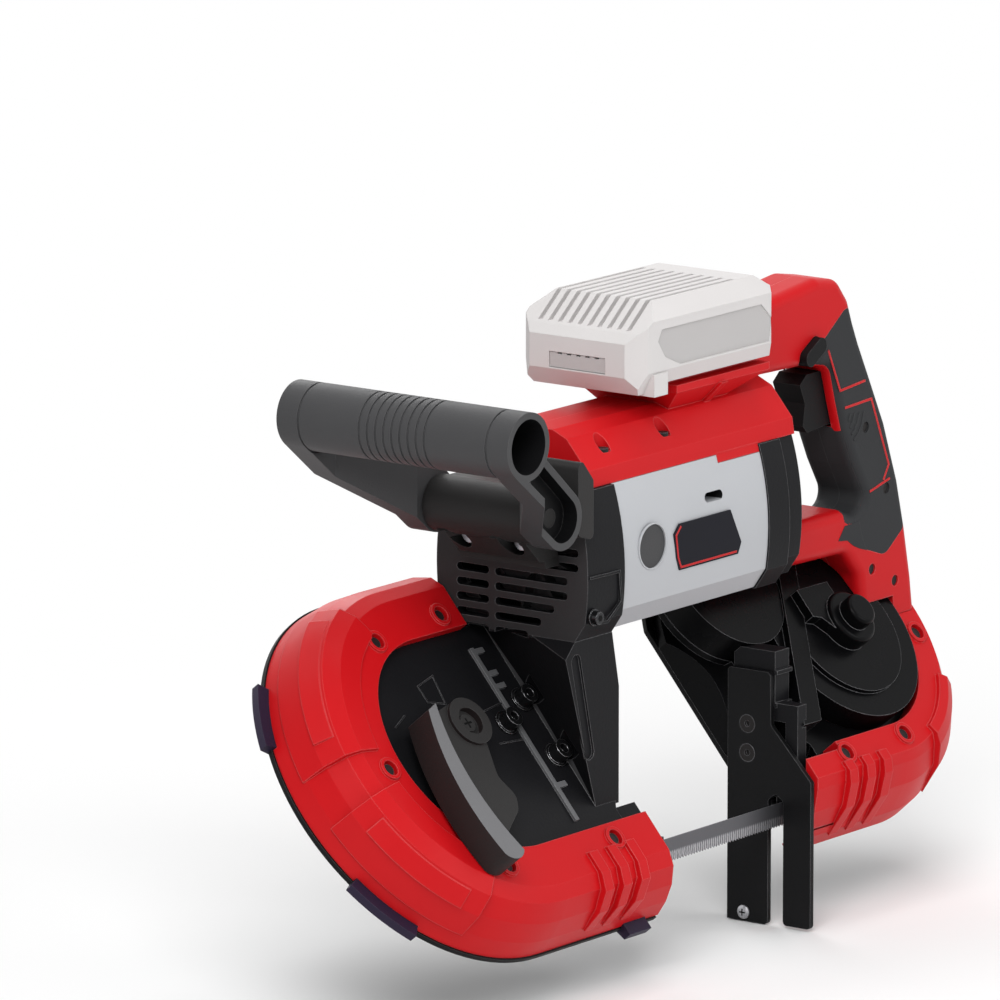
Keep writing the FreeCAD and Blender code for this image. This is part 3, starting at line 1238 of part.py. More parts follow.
def cover_screw_holes():
    """Counterbores of the top cover's screws."""
    return [rod((x, y, TOP_SCREW_SEAT), (x, y, CROWN_Z + 1.0), TOP_SCREW_RADIUS + 1.2) for x,
            y in top_screw_places()]


def top_cover():
    """Red cover over the motor with the battery pedestal."""
    half = COVER_OUTLINE + [(-y, z) for y, z in reversed(COVER_OUTLINE)]
    shell = prism([(COVER_FRONT_X, CENTRE_Y + y, z) for y, z in half], (COLLAR_REAR_X - COVER_FRONT_X, 0, 0))
    room = motor_rod(COVER_FRONT_X + SHELL_WALL, COLLAR_REAR_X - SHELL_WALL, MOTOR_BORE)
    step_low = MOTOR_Z + MOTOR_RISE - COVER_STEP
    skirt = motor_block(COVER_STEP_X + SEAT, MOTOR_REAR_X).common(
        box((COVER_STEP_X, CENTRE_Y - 60.0, step_low), (MOTOR_REAR_X, CENTRE_Y + 60.0,
                                                        step_low + COVER_STEP)))
    lining = box((COVER_STEP_X, CENTRE_Y - 38.0, step_low), (MOTOR_REAR_X, CENTRE_Y + 38.0,
                                                             step_low + COVER_STEP + 1.0))
    shell = join([shell, skirt.cut(lining), box((COVER_STEP_X + 1.0, CENTRE_Y - 40.0,
                                                 step_low + COVER_STEP - 1.0),
                                                (MOTOR_REAR_X, CENTRE_Y + 40.0,
                                                 step_low + COVER_STEP + 1.0))])
    front = PEDESTAL_FRONT_X
    foot = [(front + 8.0, -22.0), (-24.0, -22.0), (-24.0, 22.0), (front + 8.0, 22.0)]
    head = [(front, -34.0), (2.0, -34.0), (2.0, 34.0), (front, 34.0)]
    wires = [Part.makePolygon([Vector(x, CENTRE_Y + y, z) for x, y in ring_ + ring_[:1]])
             for ring_, z in ((foot, CROWN_Z - 4.0), (head, PEDESTAL_Z - 4.0), (head, PEDESTAL_Z))]
    pedestal = Part.makeLoft(wires, True, True)
    slant = [(-22.0, CROWN_Z - 4.0), (-34.0, PEDESTAL_Z - 4.0)]
    edge = [(y - PEDESTAL_RIB, z) for y, z in slant] + [(y + 1.0, z) for y, z in reversed(slant)]
    rib = prism([(PEDESTAL_RIB_X, CENTRE_Y + y, z) for y, z in edge], (2 * PEDESTAL_RIB, 0, 0))
    neck = box((front, CENTRE_Y - RAIL_HALF, PEDESTAL_Z), (2.0, CENTRE_Y + RAIL_HALF, BATTERY_Z + GAP))
    lip = box((front, CENTRE_Y - RAIL_HALF - RAIL_LIP, BATTERY_Z + GAP),
              (2.0, CENTRE_Y + RAIL_HALF + RAIL_LIP, BATTERY_Z + RAIL_HEIGHT))
    return join([shell.cut(room), pedestal, rib, neck, lip]).cut(cover_screw_holes())


def clamshell():
    """Whole red shell before it is split at the middle plane."""
    body = join([top_cover(), handle_body()])
    keep_out = [gear_cover_space(), tilted(rod((DRIVE_X, 0, FAR_FACE), (DRIVE_X, 0, PANEL_FACE + GAP),
                                               SHELL_RADIUS + GAP)),
                tilted(rod((DRIVE_X, 0, 0), (DRIVE_X, 0, BOSS_TOP + GAP), BOSS_OUT + GAP)),
                tilted(turned([(REAR_RIM - GAP, CHAMBER_DEPTH), (REAR_RIM - GAP, REAR_BUMPER_FACE + GAP),
                               (COVER_RADIUS + 2.0, REAR_BUMPER_FACE + GAP),
                               (COVER_RADIUS + 2.0, FAR_FACE - 6.0),
                               (SHELL_RADIUS - 2.0, FAR_FACE - 6.0), (SHELL_RADIUS - 2.0, CHAMBER_DEPTH)],
                               DRIVE_X))]
    trigger_room = box((60.0, CENTRE_Y - TRIGGER_HALF - GAP, TRIGGER_LOW - GAP),
                       (TRIGGER_BACK + TRIGGER_TRAVEL + GAP, CENTRE_Y + TRIGGER_HALF + GAP,
                        TRIGGER_HIGH + GAP))
    switch_room = box((TRIGGER_BACK, CENTRE_Y - SWITCH_HALF, SWITCH_LOW),
                      (SWITCH_REAR, CENTRE_Y + SWITCH_HALF, SWITCH_HIGH))
    lock_room = lock_slug(GAP, 40.0)
    terminal_room = box((PEDESTAL_FRONT_X + 8.0, CENTRE_Y - TERMINAL_HALF, PEDESTAL_Z - 8.0),
                        (-30.0, CENTRE_Y + TERMINAL_HALF, BATTERY_Z + RAIL_HEIGHT))
    arch_room = box((10.0, CENTRE_Y - SHELL_HALF + SHELL_WALL, CROWN_Z + 4.0),
                    (52.0, CENTRE_Y + SHELL_HALF - SHELL_WALL, CROWN_Z + 33.0))
    base_room = box((122.0, CENTRE_Y - SHELL_HALF + SHELL_WALL, MOTOR_Z - 88.0),
                    (157.0, CENTRE_Y + SHELL_HALF - SHELL_WALL, MOTOR_Z - 56.0))
    rooms = [trigger_room, switch_room, lock_room, terminal_room, arch_room, base_room]
    return body.cut(keep_out + rooms + shell_screw_holes())


TRIGGER_FRONT = 66.0
TRIGGER_BACK = 98.0
TRIGGER_LOW = MOTOR_Z + 25.0
TRIGGER_HIGH = MOTOR_Z + 57.0
TRIGGER_HALF = 9.0
SWITCH_REAR = 117.0
SWITCH_HALF = 11.0
SWITCH_LOW = MOTOR_Z + 28.0
SWITCH_HIGH = MOTOR_Z + 54.0
LOCK_X = 64.0
LOCK_Z = MOTOR_Z + 72.0
LOCK_HALF = 10.0
LOCK_HEIGHT = 4.5
TERMINAL_HALF = 16.0


def trigger():
    """Speed trigger, hollowed at the front for the finger."""
    outline = [(TRIGGER_BACK, TRIGGER_LOW + 2), (TRIGGER_BACK, TRIGGER_HIGH),
               (TRIGGER_FRONT + 6, TRIGGER_HIGH),
               (TRIGGER_FRONT, TRIGGER_HIGH - 5), (TRIGGER_FRONT + 5, TRIGGER_HIGH - 16),
               (TRIGGER_FRONT + 3, TRIGGER_LOW + 4),
               (TRIGGER_FRONT + 7, TRIGGER_LOW)]
    return side_prism(outline, CENTRE_Y - TRIGGER_HALF, CENTRE_Y + TRIGGER_HALF)


def lock_slug(grow, half_length):
    """Round ended slug across the handle."""
    return rounded_slot((LOCK_X, CENTRE_Y, LOCK_Z), LOCK_HALF + grow, LOCK_HEIGHT + grow, half_length,
                        (0.87, 0, 0.5), (0, 1, 0))


LOCK_PROUD = 4.5


def lock_button():
    return lock_slug(0.0, SHELL_HALF + LOCK_PROUD)


def switch_module():
    """Switch behind the trigger."""
    low, high = SWITCH_LOW + GAP, SWITCH_HIGH - GAP
    front = TRIGGER_BACK + TRIGGER_TRAVEL + GAP
    return box((front, CENTRE_Y - SWITCH_HALF + GAP, low), (SWITCH_REAR - GAP, CENTRE_Y + SWITCH_HALF - GAP,
                                                            high))


def battery_terminal_block():
    """Contact block in the pedestal."""
    low = PEDESTAL_Z - 8.0 + SEAT
    base = box((PEDESTAL_FRONT_X + 8.0 + GAP, CENTRE_Y - TERMINAL_HALF + GAP, low),
               (-30.0 - GAP, CENTRE_Y + TERMINAL_HALF - GAP, PEDESTAL_Z))
    blades = [box((-70.0, CENTRE_Y + y - 0.6, PEDESTAL_Z - 0.5), (-42.0, CENTRE_Y + y + 0.6, BATTERY_Z + 2.0))
              for y in (-9, -3, 3, 9)]
    return join([base] + blades)


def shell_half(side):
    """Near (-1) or far (+1) half of the red clamshell."""
    reach = 200.0
    low = CENTRE_Y if side > 0 else CENTRE_Y - reach
    return CLAMSHELL.common(box((IDLER_X, low, 0), (DRIVE_X + reach, low + reach, 2 * MOTOR_Z)))


def grip_sleeve():
    """Region that the rubber takes from the handle: its skin on both sides of the grip."""
    return grip_body(SHELL_HALF + 1).cut(grip_body(SHELL_HALF - OVERMOULD))


def grip_overmould():
    """Rubber skin over the grip, open for the trigger and the lock button."""
    whole = soft_prism(handle_outline(), CENTRE_Y - SHELL_HALF, CENTRE_Y + SHELL_HALF, GRIP_CORNER,
                       HANDLE_EDGE)
    skin = whole.common(grip_sleeve())
    trigger_room = box((40.0, CENTRE_Y - TRIGGER_HALF - GAP, TRIGGER_LOW - GAP),
                       (TRIGGER_BACK + TRIGGER_TRAVEL, CENTRE_Y + TRIGGER_HALF + GAP, TRIGGER_HIGH + GAP))
    return skin.cut([trigger_room, lock_slug(GAP, 40.0), gear_cover_space()] + shell_screw_holes())


SHELL_SCREW_RADIUS = 2.8
SHELL_SCREW_DEPTH = 4.0


def screw_points():
    """Clamshell screws (x, z) on the near side."""
    return [(x, MOTOR_Z + z) for x, z in ((117.0, 22.0), (137.0, -15.0), (124.0, -58.0), (146.0, -68.0))]


def clamshell_screws():
    """Screws sunk in the near half."""
    face = CENTRE_Y - SHELL_HALF
    screws = [rod((x, face + 1.0, z), (x, face + SHELL_SCREW_DEPTH, z), SHELL_SCREW_RADIUS) for x,
              z in screw_points()]
    for x, y in top_screw_places():
        screws.append(rod((x, y, TOP_SCREW_SEAT), (x, y, TOP_SCREW_SEAT + 2.0), TOP_SCREW_RADIUS))
    return group(screws)


def shell_screw_holes():
    """Counterbores of the clamshell screws."""
    face = CENTRE_Y - SHELL_HALF
    return [rod((x, face - 3.0, z), (x, face + SHELL_SCREW_DEPTH + SEAT, z), SHELL_SCREW_RADIUS + GAP)
            for x, z in screw_points()]


# Battery

def battery_blank():
    """Battery block: side outline with a long front slope, chamfered along its upper and lower edges."""
    x0, x1, z0, z1 = BATTERY_FRONT_X, BATTERY_FRONT_X + BATTERY_LENGTH, BATTERY_Z, BATTERY_Z + BATTERY_HEIGHT
    outline = [(x0 + 8.0, z0 - 4.0), (x0, z0 + 6.0), (x0, z0 + 24.0), (x0 + 5.0, z0 + 29.0),
               (x0 + 24.0, z1), (x1 - 10.0, z1),
               (x1, z1 - 8.0), (x1, z0), (x0 + 30.0, z0), (x0 + 26.0, z0 - 4.0)]
    half, slope = BATTERY_HALF, BATTERY_CHAMFER
    across = [(-half + 6.0, z0 - 4.0), (-half, z0 + 8.0), (-half, z1 - slope), (-half + slope, z1),
              (half - slope, z1), (half, z1 - slope),
              (half, z0 + 8.0), (half - 6.0, z0 - 4.0)]
    length = prism([(x0 - 5.0, CENTRE_Y + y, z) for y, z in across], (BATTERY_LENGTH + 10.0, 0, 0))
    corner = prism([(x, CENTRE_Y + y, z0 - 5.0) for x, y in
                    [(x0, -half + 9.0), (x0 + 9.0, -half), (x1 - 6.0, -half), (x1, -half + 6.0),
                     (x1, half - 6.0),
                     (x1 - 6.0, half), (x0 + 9.0, half), (x0, half - 9.0)]], (0, 0, BATTERY_HEIGHT + 8.0))
    return side_prism(outline, CENTRE_Y - half, CENTRE_Y + half).common(length).common(corner)


BATTERY_CHAMFER = 9.0
BATTERY_SLATS = 9
SLAT_PITCH = 6.4
SLAT_GROOVE = 2.6
SLAT_DEPTH = 2.4
PANEL_SINK = 0.9


def battery_case():
    """Battery shell with slatted top and the rail channel below."""
    block = battery_blank()
    low, x1, stop = BATTERY_Z, BATTERY_FRONT_X + BATTERY_LENGTH, BATTERY_FRONT_X + 16.0
    wide = RAIL_HALF + RAIL_LIP + GAP
    channel = box((stop, CENTRE_Y - wide, low), (x1 + 1.0, CENTRE_Y + wide, low + RAIL_HEIGHT + GAP))
    skin = block.cut(block.translated(Vector(SLAT_DEPTH, 0, -SLAT_DEPTH)))
    slats = []
    for i in range(BATTERY_SLATS + 1):
        y = CENTRE_Y + (i - BATTERY_SLATS / 2) * SLAT_PITCH
        slats.append(box((BATTERY_FRONT_X + 4.0, y - SLAT_GROOVE / 2, low + 30.0),
                         (x1 - 26.0, y + SLAT_GROOVE / 2, low + 60.0)))
    lug = box((BATTERY_FRONT_X + 13.0, CENTRE_Y - BATTERY_HALF - 1.0, low - 5.0),
              (BATTERY_FRONT_X + 25.0, CENTRE_Y - BATTERY_HALF + 10.0, low + 7.0))
    panel = [(17.5, 24.0), (21.0, 30.0), (111.0, 30.0), (121.0, 21.0), (119.0, 9.0), (38.0, 9.0),
             (24.0, 15.0)]
    side = [(BATTERY_FRONT_X + x, low + z) for x, z in panel]
    insets = [side_prism(side, CENTRE_Y + s * (BATTERY_HALF + 1.0),
                         CENTRE_Y + s * (BATTERY_HALF - PANEL_SINK))
              for s in (-1, 1)]
    return join([block.cut([channel] + insets + [skin.common(slat) for slat in slats]), lug])


BATTERY_FRONT_X = 1.0 - BATTERY_LENGTH


def arm_blank(near, far, inset=0.0):
    """Both circles of an arm with their tangents, pushed along Y."""
    face = tangent_outline((TUBE_X, TUBE_Z), TUBE_RADIUS - inset, (DRUM_X, DRUM_Z), DRUM_RADIUS + 1.0 - inset)
    face.translate(Vector(0, near, 0))
    return face.extrude(Vector(0, far - near, 0))


def arm_plan(outer, inner, tube_y, drum_y):
    """Top view of an arm that bends inwards from the tube's end to the drum's end."""
    bend, front, back = TUBE_X + 14.0, TUBE_X - TUBE_RADIUS - 4.0, DRUM_X + DRUM_RADIUS + 4.0
    turn = DRUM_X - DRUM_RADIUS - 4.0
    corners = [(front, tube_y + outer), (bend, tube_y + outer), (turn, drum_y + outer),
               (back, drum_y + outer),
               (back, drum_y + inner), (turn, drum_y + inner), (bend, tube_y + inner),
               (front, tube_y + inner)]
    return prism([(x, y, TUBE_Z - 120.0) for x, y in corners], (0, 0, 200.0))


ARM_THICK = 14.0
ARM_RIM = 4.0
ARM_POCKET = 9.0


def front_arms():
    """Arms from the tube's ends to the pivots at the drum's ends; the near one is hollowed from outside."""
    near_tube, far_tube = TUBE_Y - TUBE_LENGTH / 2, TUBE_Y + TUBE_LENGTH / 2
    near_drum, far_drum = DRUM_NEAR_Y - GAP - ARM_THICK, DRUM_FAR_Y + GAP + ARM_THICK
    blank = arm_blank(near_tube - 1.0, far_tube + 1.0)
    near_arm = blank.common(arm_plan(0.0, ARM_THICK, near_tube, near_drum))
    far_arm = blank.common(arm_plan(0.0, -ARM_THICK, far_tube, far_drum))
    pocket = arm_blank(near_tube - 1.0, far_tube, ARM_RIM).common(arm_plan(-2.0, ARM_POCKET, near_tube,
                                                                           near_drum))
    return [near_arm.cut(pocket), far_arm]


def front_handle():
    """Hollow tube grip on two arms."""
    y0, y1 = TUBE_Y - TUBE_LENGTH / 2, TUBE_Y + TUBE_LENGTH / 2
    tube = rod((TUBE_X, y0, TUBE_Z), (TUBE_X, y1, TUBE_Z), TUBE_RADIUS)
    body = join([tube] + front_arms())
    bore = rod((TUBE_X, y0 - 1.0, TUBE_Z), (TUBE_X, y1 - 12.0, TUBE_Z), TUBE_BORE)
    pin = rod((DRUM_X, y0, DRUM_Z), (DRUM_X, y1, DRUM_Z), PIVOT_RADIUS + RUN_FIT)
    middles = [TUBE_Y - TUBE_GROOVE_SPAN / 2 + TUBE_GROOVE_SPAN * i / (TUBE_GROOVES - 1)
               for i in range(TUBE_GROOVES)]
    middles += [y0 + ARM_THICK, y1 - ARM_THICK]
    grooves = [ring((TUBE_X, y - 0.7, TUBE_Z), (TUBE_X, y + 0.7, TUBE_Z), TUBE_RADIUS + 1,
                    TUBE_RADIUS - 0.8) for y in middles]
    return body.cut([bore, pin] + grooves)


TUBE_GROOVES = 9
TUBE_GROOVE_SPAN = 42.0


def handle_bracket():
    """Drum and bolted foot that carry the front handle, with scallops over its two bolts."""
    drum = rod((DRUM_X, DRUM_NEAR_Y, DRUM_Z), (DRUM_X, DRUM_FAR_Y, DRUM_Z), DRUM_RADIUS)
    back, low = CAP_FRONT_X - SEAT, MOTOR_Z
    foot = side_prism([(back, low), (back, low + 44.0), (DRUM_X, DRUM_Z + 14.0), (DRUM_X, DRUM_Z - 14.0),
                       (-198.0, low + 2.0)],
                      CENTRE_Y - 30.0, DRUM_FAR_Y - 2.0)
    corners = [(-31.0, -2.0), (24.0, -2.0), (37.0, 12.0), (37.0, 38.0), (-22.0, 38.0)]
    plate = prism([(BRACKET_PLATE_X, CENTRE_Y + y, low + z) for y, z in corners],
                  (back - BRACKET_PLATE_X, 0, 0))
    floor = ARM_THICK - ARM_POCKET
    pin = rod((DRUM_X, DRUM_NEAR_Y - GAP - floor, DRUM_Z), (DRUM_X, DRUM_FAR_Y + GAP + ARM_THICK, DRUM_Z),
              PIVOT_RADIUS)
    holes = [rod((DRUM_X - DRUM_RADIUS - 2.0, y, BRACKET_BOLT_Z), (BRACKET_SEAT_X, y, BRACKET_BOLT_Z),
                 BRACKET_SCALLOP)
             for y in BRACKET_BOLT_Y]
    side = [(LOCK_BLOCK_X, low + 18.0), (back, low + 14.0), (back, low + 46.0),
            (LOCK_BLOCK_X + 3.0, low + 58.0),
            (LOCK_BLOCK_X, low + 54.0)]
    lock = soft_prism(side, CENTRE_Y - 53.0, CENTRE_Y - 28.0, 3.0)
    return join([drum, foot, plate, lock, pin]).cut(holes)


BRACKET_PLATE_X = -194.0
BRACKET_SEAT_X = -192.0
BRACKET_SCALLOP = 7.0
BRACKET_HEAD = 5.0
BRACKET_BOLT_Z = MOTOR_Z + 12.0
BRACKET_BOLT_Y = (CENTRE_Y - 18.8, CENTRE_Y + 15.2)
LOCK_BLOCK_X = -195.5


def bracket_bolts():
    """Socket bolts of the front handle's bracket."""
    bolts = []
    seat, top = BRACKET_SEAT_X - SEAT, BRACKET_SEAT_X - 7.0
    for y in BRACKET_BOLT_Y:
        head = rod((top, y, BRACKET_BOLT_Z), (seat, y, BRACKET_BOLT_Z), BRACKET_HEAD)
        socket = rod((top, y, BRACKET_BOLT_Z), (top + 3.0, y, BRACKET_BOLT_Z), BRACKET_HEAD / 2)
        bolts.append(head.cut(socket))
    return group(bolts)


# Tension lever

LEVER_LOW = PANEL_FACE + 0.4
LEVER_HIGH = 46.0
LEVER_HUB = 14.0
LEVER_WEB = 3.5
LEVER_CHAMFER = 1.5


def lever_bar(low, high):
    """Curved bar of the lever in the wheel frame, relative to the idler axis."""
    outer = [Vector(-46.5, 17.0, low), Vector(-58.5, -26.0, low), Vector(-55.0, -70.0, low)]
    inner = [Vector(-38.5, -69.0, low), Vector(-45.5, -28.0, low), Vector(-36.5, 20.0, low)]
    edges = [
        Part.Arc(*outer).toShape(),
        Part.Arc(outer[2], Vector(-47.0, -74.5, low), inner[0]).toShape(),
        Part.Arc(*inner).toShape(),
        Part.LineSegment(inner[2], outer[0]).toShape(),
    ]
    return Part.Face(Part.Wire(edges)).extrude(Vector(0, 0, high - low))


def tension_lever():
    """Curved bar on a web that pivots on the front panel; swings outwards to slacken the band."""
    low = FRONT_BUMPER_FACE + RAISE + 0.6
    bar = lever_bar(low, LEVER_HIGH)
    flank = [e for e in bar.Edges if e.BoundBox.ZMin > LEVER_HIGH - 0.01 and e.BoundBox.XMax > -39.0
             and e.BoundBox.YLength > 60]
    bar = bar.makeChamfer(LEVER_CHAMFER, flank)
    web_corners = [(-42.0, 16.0), (LEVER_U, LEVER_V + LEVER_HUB), (LEVER_U + 5.0, -2.0), (-8.0, -24.0),
                   (-3.0, -37.0),
                   (-8.0, -45.0), (-42.0, -64.0), (-50.0, -28.0)]
    web = Part.Face(rounded_wire([(u, v, low) for u, v in web_corners], 8.0)).extrude(Vector(0, 0, LEVER_WEB))
    hub = rod((LEVER_U, LEVER_V, LEVER_LOW), (LEVER_U, LEVER_V, low + LEVER_WEB + 2.0), LEVER_HUB)
    recess = rod((LEVER_U, LEVER_V, low + 1.5), (LEVER_U, LEVER_V, low + LEVER_WEB + 2.0), LEVER_HUB - 6.0)
    pin = rod((LEVER_U, LEVER_V, CHAMBER_DEPTH + SEAT), (LEVER_U, LEVER_V, low), LEVER_PIN)
    screw = rod((LEVER_U, LEVER_V, low), (LEVER_U, LEVER_V, low + 3.0), LEVER_PIN)
    body = join([join([bar, web, hub]).cut(recess), pin, screw])
    body.translate(Vector(IDLER_X, 0, 0))
    return tilted(body)


# Shoe and guides

def shoe_plate():
    """Bent steel shoe with the slot for the blade."""
    middle = (SLOT_NEAR + SLOT_FAR) / 2
    outline = [(SHOE_FAR, SHOE_TOP), (7.0, SHOE_TOP), (6.4, 48.0), (SHOE_NEAR, SLOT_TOP + 9.0),
               (SHOE_NEAR, SHOE_BOTTOM + 1.0),
               (SLOT_NEAR, SHOE_BOTTOM + 1.0), (SLOT_NEAR, SLOT_TOP - 4.0), (middle, SLOT_TOP),
               (SLOT_FAR, SLOT_TOP - 4.0),
               (SLOT_FAR, SHOE_BOTTOM), (SHOE_FAR, SHOE_BOTTOM)]
    face = Part.Face(rounded_wire([(0.0, y, z) for y, z in outline], SHOE_CORNER))
    plate = face.extrude(Vector(SHOE_THICK, 0, 0))
    flange = box((0.0, SHOE_FAR - SHOE_THICK, SHOE_BOTTOM), (10.0, SHOE_FAR, -8.0))
    holes = [rod((0, y, z), (SHOE_THICK, y, z), SHOE_SCREW_RADIUS + RUN_FIT) for y, z in shoe_screw_places()]
    sinks = [Part.makeCone(5.2, SHOE_SCREW_RADIUS, 2.7, Vector(0, y, z), X_DIR) for y,
             z in shoe_screw_places()]
    return join([plate, flange]).cut(holes + sinks)


def shoe_screws():
    """Countersunk screws of the shoe."""
    screws = []
    for y, z in shoe_screw_places():
        cone = Part.makeCone(5.0, SHOE_SCREW_RADIUS, 2.6, Vector(0.1, y, z), X_DIR)
        shank = rod((0.1, y, z), (SHOE_THICK + WALL - 0.5, y, z), SHOE_SCREW_RADIUS)
        hexagon = rod((0.1, y, z), (1.6, y, z), 1.7)
        screws.append(join([cone, shank]).cut(hexagon))
    return group(screws)


def roller_places(x, ahead):
    """Centres and axes of a guide's rollers: two side rollers and the back roller."""
    away = BAND_THICK / 2 + GAP + ROLLER_RADIUS
    rise = BAND_WIDTH / 2 + GAP + BACK_ROLLER_RADIUS
    return {
        "near": (Vector(x, -away, 0), Z_DIR, ROLLER_RADIUS, ROLLER_LENGTH),
        "far": (Vector(x, away, 0), Z_DIR, ROLLER_RADIUS, ROLLER_LENGTH),
        "back": (Vector(x + ahead * GUIDE_STEP, 0, rise), Y_DIR, BACK_ROLLER_RADIUS, BACK_ROLLER_LENGTH),
    }


def roller(x, ahead, which):
    """Guide roller: a small ball bearing on its pin."""
    centre, axis, radius, length = roller_places(x, ahead)[which]
    start, end = centre - axis * (length / 2), centre + axis * (length / 2)
    return ring(start, end, radius, ROLLER_PIN + RUN_FIT)


GUIDE_TOP = 22.0
GUIDE_ARM_NEAR = -9.0
GUIDE_ARM_REAR = 11.0
GUIDE_PLATE = 8.2
GUIDE_CHEEK = 3.0


def guide_bracket(x, ahead):
    """Bracket with the pins of the three rollers."""
    places = roller_places(x, ahead)
    half_y = BAND_THICK / 2 + GAP + 2 * ROLLER_RADIUS
    x_back = x + ahead * (GUIDE_STEP + ROLLER_PIN + 3.0)
    front_x = x - ahead * ROLLER_RADIUS
    plate_end = x + ahead * (GUIDE_STEP - BACK_ROLLER_RADIUS - GAP)
    xs = sorted((front_x, plate_end))
    parts = [box((xs[0], -half_y, GUIDE_PLATE), (xs[1], half_y, GUIDE_PLATE + 5.0))]
    cheek_y = BACK_ROLLER_LENGTH / 2 + GAP
    cheek_x = sorted((plate_end - ahead * 3.0, x_back))
    for y0 in (cheek_y, -cheek_y - GUIDE_CHEEK):
        parts.append(box((cheek_x[0], y0, GUIDE_PLATE), (cheek_x[1], y0 + GUIDE_CHEEK, GUIDE_TOP)))
    for which in ("near", "far"):
        centre, axis, radius, length = places[which]
        parts.append(rod(centre - axis * (length / 2 + 0.5), centre + axis * (GUIDE_PLATE + 1), ROLLER_PIN))
    centre, axis, radius, length = places["back"]
    parts.append(rod(centre - axis * (cheek_y + 1), centre + axis * (cheek_y + 1), ROLLER_PIN))
    return parts, xs


def rear_guide_bracket():
    """Rear guide: hangs from the near face of the rear housing, behind the shoe."""
    parts, xs = guide_bracket(REAR_GUIDE_X, 1)
    x0 = SHOE_THICK + SEAT
    arm = box((x0, GUIDE_ARM_NEAR, GUIDE_PLATE + 2.0), (GUIDE_ARM_REAR, -1.0, 60.0))
    link = box((x0, GUIDE_ARM_NEAR, 50.0), (GUIDE_ARM_REAR, 20.0, 60.0))
    block = box((x0, 6.0, 56.0), (16.0, 33.0, 88.0))
    housing = tilted(rod((DRIVE_X, 0, FAR_FACE), (DRIVE_X, 0, PANEL_FACE + SEAT), SHELL_RADIUS + GAP))
    return join(parts + [arm, link, block]).cut([housing, gear_cover_space(), tilted(cover_strip(GAP))])


def front_guide_bracket():
    """Front guide: bolted to the end of the front housing's lower arm."""
    parts, xs = guide_bracket(FRONT_GUIDE_X, -1)
    web = tilted(box((FRONT_ARM_END + SEAT, -RUN + 18.0, -6.0),
                     (FRONT_GUIDE_X + 3.0, -ARM_INNER - 8.0, 16.0)))
    chamber = tilted(stadium(IDLER_X, SHELL_RADIUS + SEAT, TENSION_TRAVEL, FAR_FACE, PANEL_FACE))
    return join(parts + [web.cut(chamber)])


def cover_screws():
    """Screws of the far side covers."""
    places = [(IDLER_X - 60.0, 60.0), (IDLER_X - 60.0, -60.0), (IDLER_X + 70.0, -SHELL_RADIUS),
              (DRIVE_X + 62.0, 62.0),
              (DRIVE_X + 62.0, -62.0), (-60.0, RUN)]
    return group([tilted(rod((u, v, COVER_LOW - 1.4), (u, v, COVER_LOW), SCREW_RADIUS + 0.8)) for u,
                  v in places])


BATTERY_LATCH_Z = BATTERY_Z + 11.0


def battery_latch():
    """Release button in the battery's front end."""
    half = 18.0
    front = BATTERY_FRONT_X + 0.5
    body = box((front, CENTRE_Y - half, BATTERY_LATCH_Z - 4.0),
               (front + 7.0, CENTRE_Y + half, BATTERY_LATCH_Z + 4.0))
    grooves = [box((front, CENTRE_Y - half + 4 + 6 * i, BATTERY_LATCH_Z + 3.2),
                   (front + 5, CENTRE_Y - half + 7 + 6 * i, BATTERY_LATCH_Z + 4.0)) for i in range(5)]
    return body.cut(grooves)


def battery_shell():
    """Battery case with the pocket for its latch."""
    half = 18.0 + GAP
    pocket = box((BATTERY_FRONT_X - 1, CENTRE_Y - half, BATTERY_LATCH_Z - 4.0 - GAP),
                 (BATTERY_FRONT_X + 8.0 + LATCH_TRAVEL, CENTRE_Y + half, BATTERY_LATCH_Z + 4.0 + GAP))
    return battery_case().cut(pocket)


